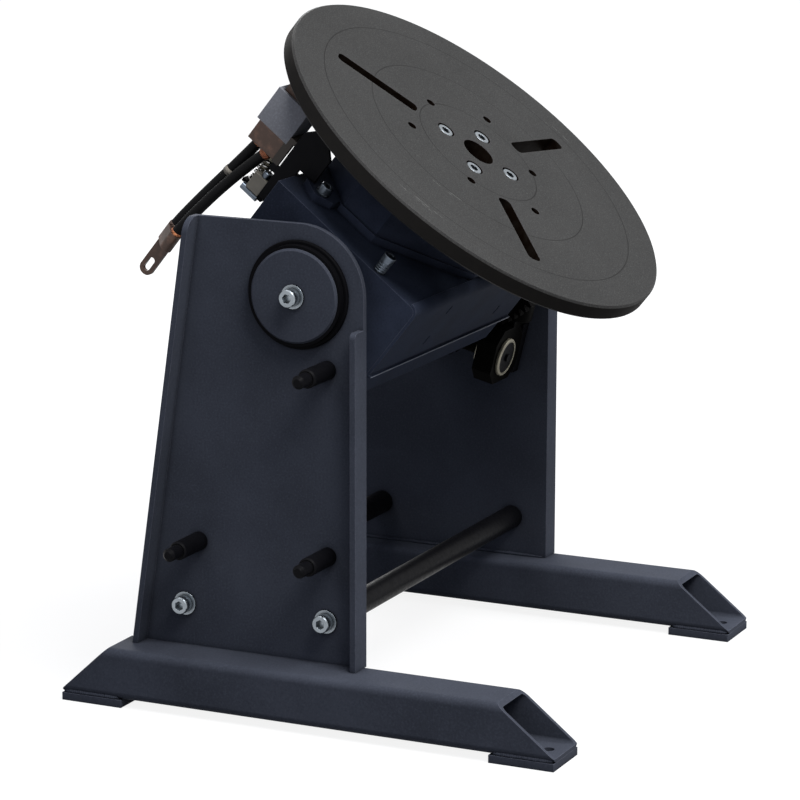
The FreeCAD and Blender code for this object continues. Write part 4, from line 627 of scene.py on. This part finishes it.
def weld(name, start, stop, radius, seed):
    """A painted weld bead between two points, with its ripples and thinner ends."""
    dice = random.Random(seed)
    span = stop - start
    count = max(FEWEST_STEPS, int(span.length / RIPPLE * POINTS_IN_RIPPLE))
    path = []
    radii = []
    for i in range(count + 1):
        t = i / count
        drift = Vector([dice.uniform(-1, 1) for _ in range(3)]) * STRAY * radius
        path.append(start + span * t + drift)
        ripple = RIPPLE_DEPTH * math.cos(2 * math.pi * span.length * t / RIPPLE)
        end = min(1.0, BEAD_END + BEAD_GROWTH * min(t, 1 - t))
        radii.append(radius * end * (1 + ripple + dice.uniform(-RIPPLE_SCATTER, RIPPLE_SCATTER)))
    bm = bmesh.new()
    tube(bm, path, radii, 8)
    piece(name, bm, "frame_paint", "stand")


def side_point(side, x, y, z):
    """A place on one side of the machine, in millimetres, x from the middle outward."""
    return Vector((side * x, y, z)) * MM


SIDES = ((-1, "left"), (1, "right"))
EDGES = (("outer", BEAM_X + BEAM_HALF - FOOT_BEAD_IN), ("inner", BEAM_X - BEAM_HALF + FOOT_BEAD_IN))

for side, hand in SIDES:
    for place, (low, high) in FEET.items():
        z = FOOT_T + FOOT_BEAD_UP
        for edge, x in EDGES:
            weld("%s_%s_%s_foot_weld" % (hand, place, edge), side_point(side, x, low, z),
                 side_point(side, x, high, z), FOOT_BEAD * MM, len(hand) + high)
        z = FOOT_T + END_BEAD_UP
        y = high if place == "front" else low
        weld("%s_%s_foot_end_weld" % (hand, place), side_point(side, BEAM_X - END_BEAD_HALF, y, z),
             side_point(side, BEAM_X + END_BEAD_HALF, y, z), END_BEAD * MM, 40 + low)

for side, hand in SIDES:
    low, high = (Vector(corner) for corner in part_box(hand + "_side_plate"))
    x = min(abs(low.x), abs(high.x)) / MM - PLATE_BEAD_IN
    z = BEAM_TOP + PLATE_BEAD_UP
    weld(hand + "_plate_weld", side_point(side, x, low.y / MM + PLATE_BEAD_FRONT, z),
         side_point(side, x, high.y / MM - PLATE_BEAD_REAR, z), PLATE_BEAD * MM, 70)


# The front cover's lip: a thin pale bead along its edge, a painted highlight where the edge catches the light

LIP_V, LIP_Z = -102.2, -22.4
LIP_FROM, LIP_TO = -197.5, 141.5
LIP_STEPS = 24
LIP_RADII = (0.8, 1.0)

lip = bmesh.new()
lip_path = [cradle_point(LIP_FROM + (LIP_TO - LIP_FROM) * i / LIP_STEPS, LIP_V, LIP_Z)
            for i in range(LIP_STEPS + 1)]
dice = random.Random(9)
tube(lip, lip_path, [dice.uniform(*LIP_RADII) * MM for _ in lip_path], 8)
piece("cover_lip_edge", lip, "frame_paint", "cradle", "painted_highlight_edge")


def helix(x, v, radius, turns, steps, height):
    """Points round an axis square to the table, at the z that height gives for shares 0 to 1."""
    path = []
    for i in range(steps + 1):
        t = i / steps
        turn = 2 * math.pi * turns * t
        path.append(cradle_point(x + radius * math.cos(turn), v + radius * math.sin(turn),
                                 height(t)))
    return path


# The brush's spring: a coil from the bracket's foot to the rod's collar, drawn at one length here, though the real
# spring shortens as the brush goes down. CLOSED_END is the share of its wire that lies flat at each end.

SPRING_X, SPRING_V = -141, 128
SPRING_FOOT, SPRING_COLLAR = 17.6, 49.5
COIL_RADIUS, WIRE_RADIUS, COIL_TURNS = 7.0, 1.0, 6.5
COIL_STEPS = 156
CLOSED_END = 0.09


def coil_height(t):
    climb = min(1.0, max(0.0, (t - CLOSED_END) / (1 - 2 * CLOSED_END)))
    return SPRING_FOOT + WIRE_RADIUS + (SPRING_COLLAR - SPRING_FOOT - 2 * WIRE_RADIUS) * climb


coil = bmesh.new()
coil_path = helix(SPRING_X, SPRING_V, COIL_RADIUS, COIL_TURNS, COIL_STEPS, coil_height)
tube(coil, coil_path, [WIRE_RADIUS * MM] * len(coil_path), 8)
spring = piece("brush_coil", coil, "spring_steel", "cradle")
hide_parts("brush_spring")
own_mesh(spring)


# Thread ridges under the standing screw's head

SCREW_X, SCREW_V = -189, -41
THREAD_LOW, THREAD_HIGH = 62.6, 75.6
THREAD_RADIUS, THREAD_PITCH, RIDGE_RADIUS = 5.4, 2.6, 0.8
STEPS_IN_TURN = 20


def thread_height(t):
    return THREAD_LOW + RIDGE_RADIUS + (THREAD_HIGH - THREAD_LOW - 2 * RIDGE_RADIUS) * t


thread = bmesh.new()
thread_turns = (THREAD_HIGH - THREAD_LOW - 2 * RIDGE_RADIUS) / THREAD_PITCH
thread_path = helix(SCREW_X, SCREW_V, THREAD_RADIUS, thread_turns,
                    int(thread_turns * STEPS_IN_TURN), thread_height)
tube(thread, thread_path, [RIDGE_RADIUS * MM] * len(thread_path), 6)
# In the darker zinc: painted shade
piece("standing_screw_thread", thread, "zinc", "cradle", "shaded_zinc")


# Floor, background and light

# The floor's glow climbs from the first strength to the second between these distances in metres
GLOW_REACH = (0.6, 1.4)
FLOOR_GLOW = (0.87, 1.0)
FLOOR_HALF = 60.0
FLOOR_GREY = (0.15, 0.15, 0.15, 1)
WHITE = (1, 1, 1)
AMBIENT = (0.095, 0.12, 0.195)


def seen_rays(tree):
    """1 for rays from the camera, straight, mirrored or let through, and 0 for diffuse ones."""
    rays = tree.nodes.new("ShaderNodeLightPath").outputs
    return highest(tree, [rays[kind] for kind in
                          ("Is Camera Ray", "Is Glossy Ray", "Is Transmission Ray")])


def floor():
    """A floor that glows white where it is seen and takes the shadow, and else is plain grey."""
    mesh = bpy.data.meshes.new("floor")
    corners = [(x * FLOOR_HALF, y * FLOOR_HALF, 0) for x, y in ((-1, -1), (1, -1), (1, 1), (-1, 1))]
    mesh.from_pydata(corners, [], [(0, 1, 2, 3)])
    obj = bpy.data.objects.new("floor", mesh)
    bpy.context.scene.collection.objects.link(obj)
    material, tree, shader, coords = new_material("floor", 0.9, specular=0.0)
    shader.inputs["Base Color"].default_value = FLOOR_GREY
    glow = ramp(tree, length_of(tree, coords), *GLOW_REACH, *FLOOR_GLOW)
    shader.inputs["Emission Color"].default_value = (*WHITE, 1)
    tree.links.new(math_of(tree, "MULTIPLY", glow, seen_rays(tree)),
                   shader.inputs["Emission Strength"])
    obj.data.materials.append(material)


floor()

world = bpy.data.worlds.new("studio")
bpy.context.scene.world = world
world.use_nodes = True
sky = world.node_tree
sky.links.new(blend_colour(sky, seen_rays(sky), AMBIENT, WHITE),
              sky.nodes["Background"].inputs["Color"])

# Square lamps that shine on the middle of the object: place in metres, side in metres, watts
LAMP_AIM = Vector((0, 0, 0.35))
LAMPS = {
    "key": ((-0.8, -1.4, 2.85), 1.6, 107),
    "right": ((0.9, -1.5, 2.4), 1.4, 45),
    "side": ((-3.0, 0.1, 1.2), 1.4, 5.5),
    "rear": ((-1.2, 1.0, 2.7), 1.4, 11),
    "front": ((-2.4, -1.6, 1.5), 1.4, 8),
    "back": ((2.4, 2.0, 1.7), 1.6, 40),
}

for name, (at, size, power) in LAMPS.items():
    data = bpy.data.lights.new(name, "AREA")
    data.size = size
    data.energy = power
    lamp = bpy.data.objects.new(name, data)
    bpy.context.scene.collection.objects.link(lamp)
    lamp.location = at
    lamp.rotation_euler = (LAMP_AIM - Vector(at)).to_track_quat("-Z", "Y").to_euler()

bpy.context.scene.view_settings.view_transform = "Standard"
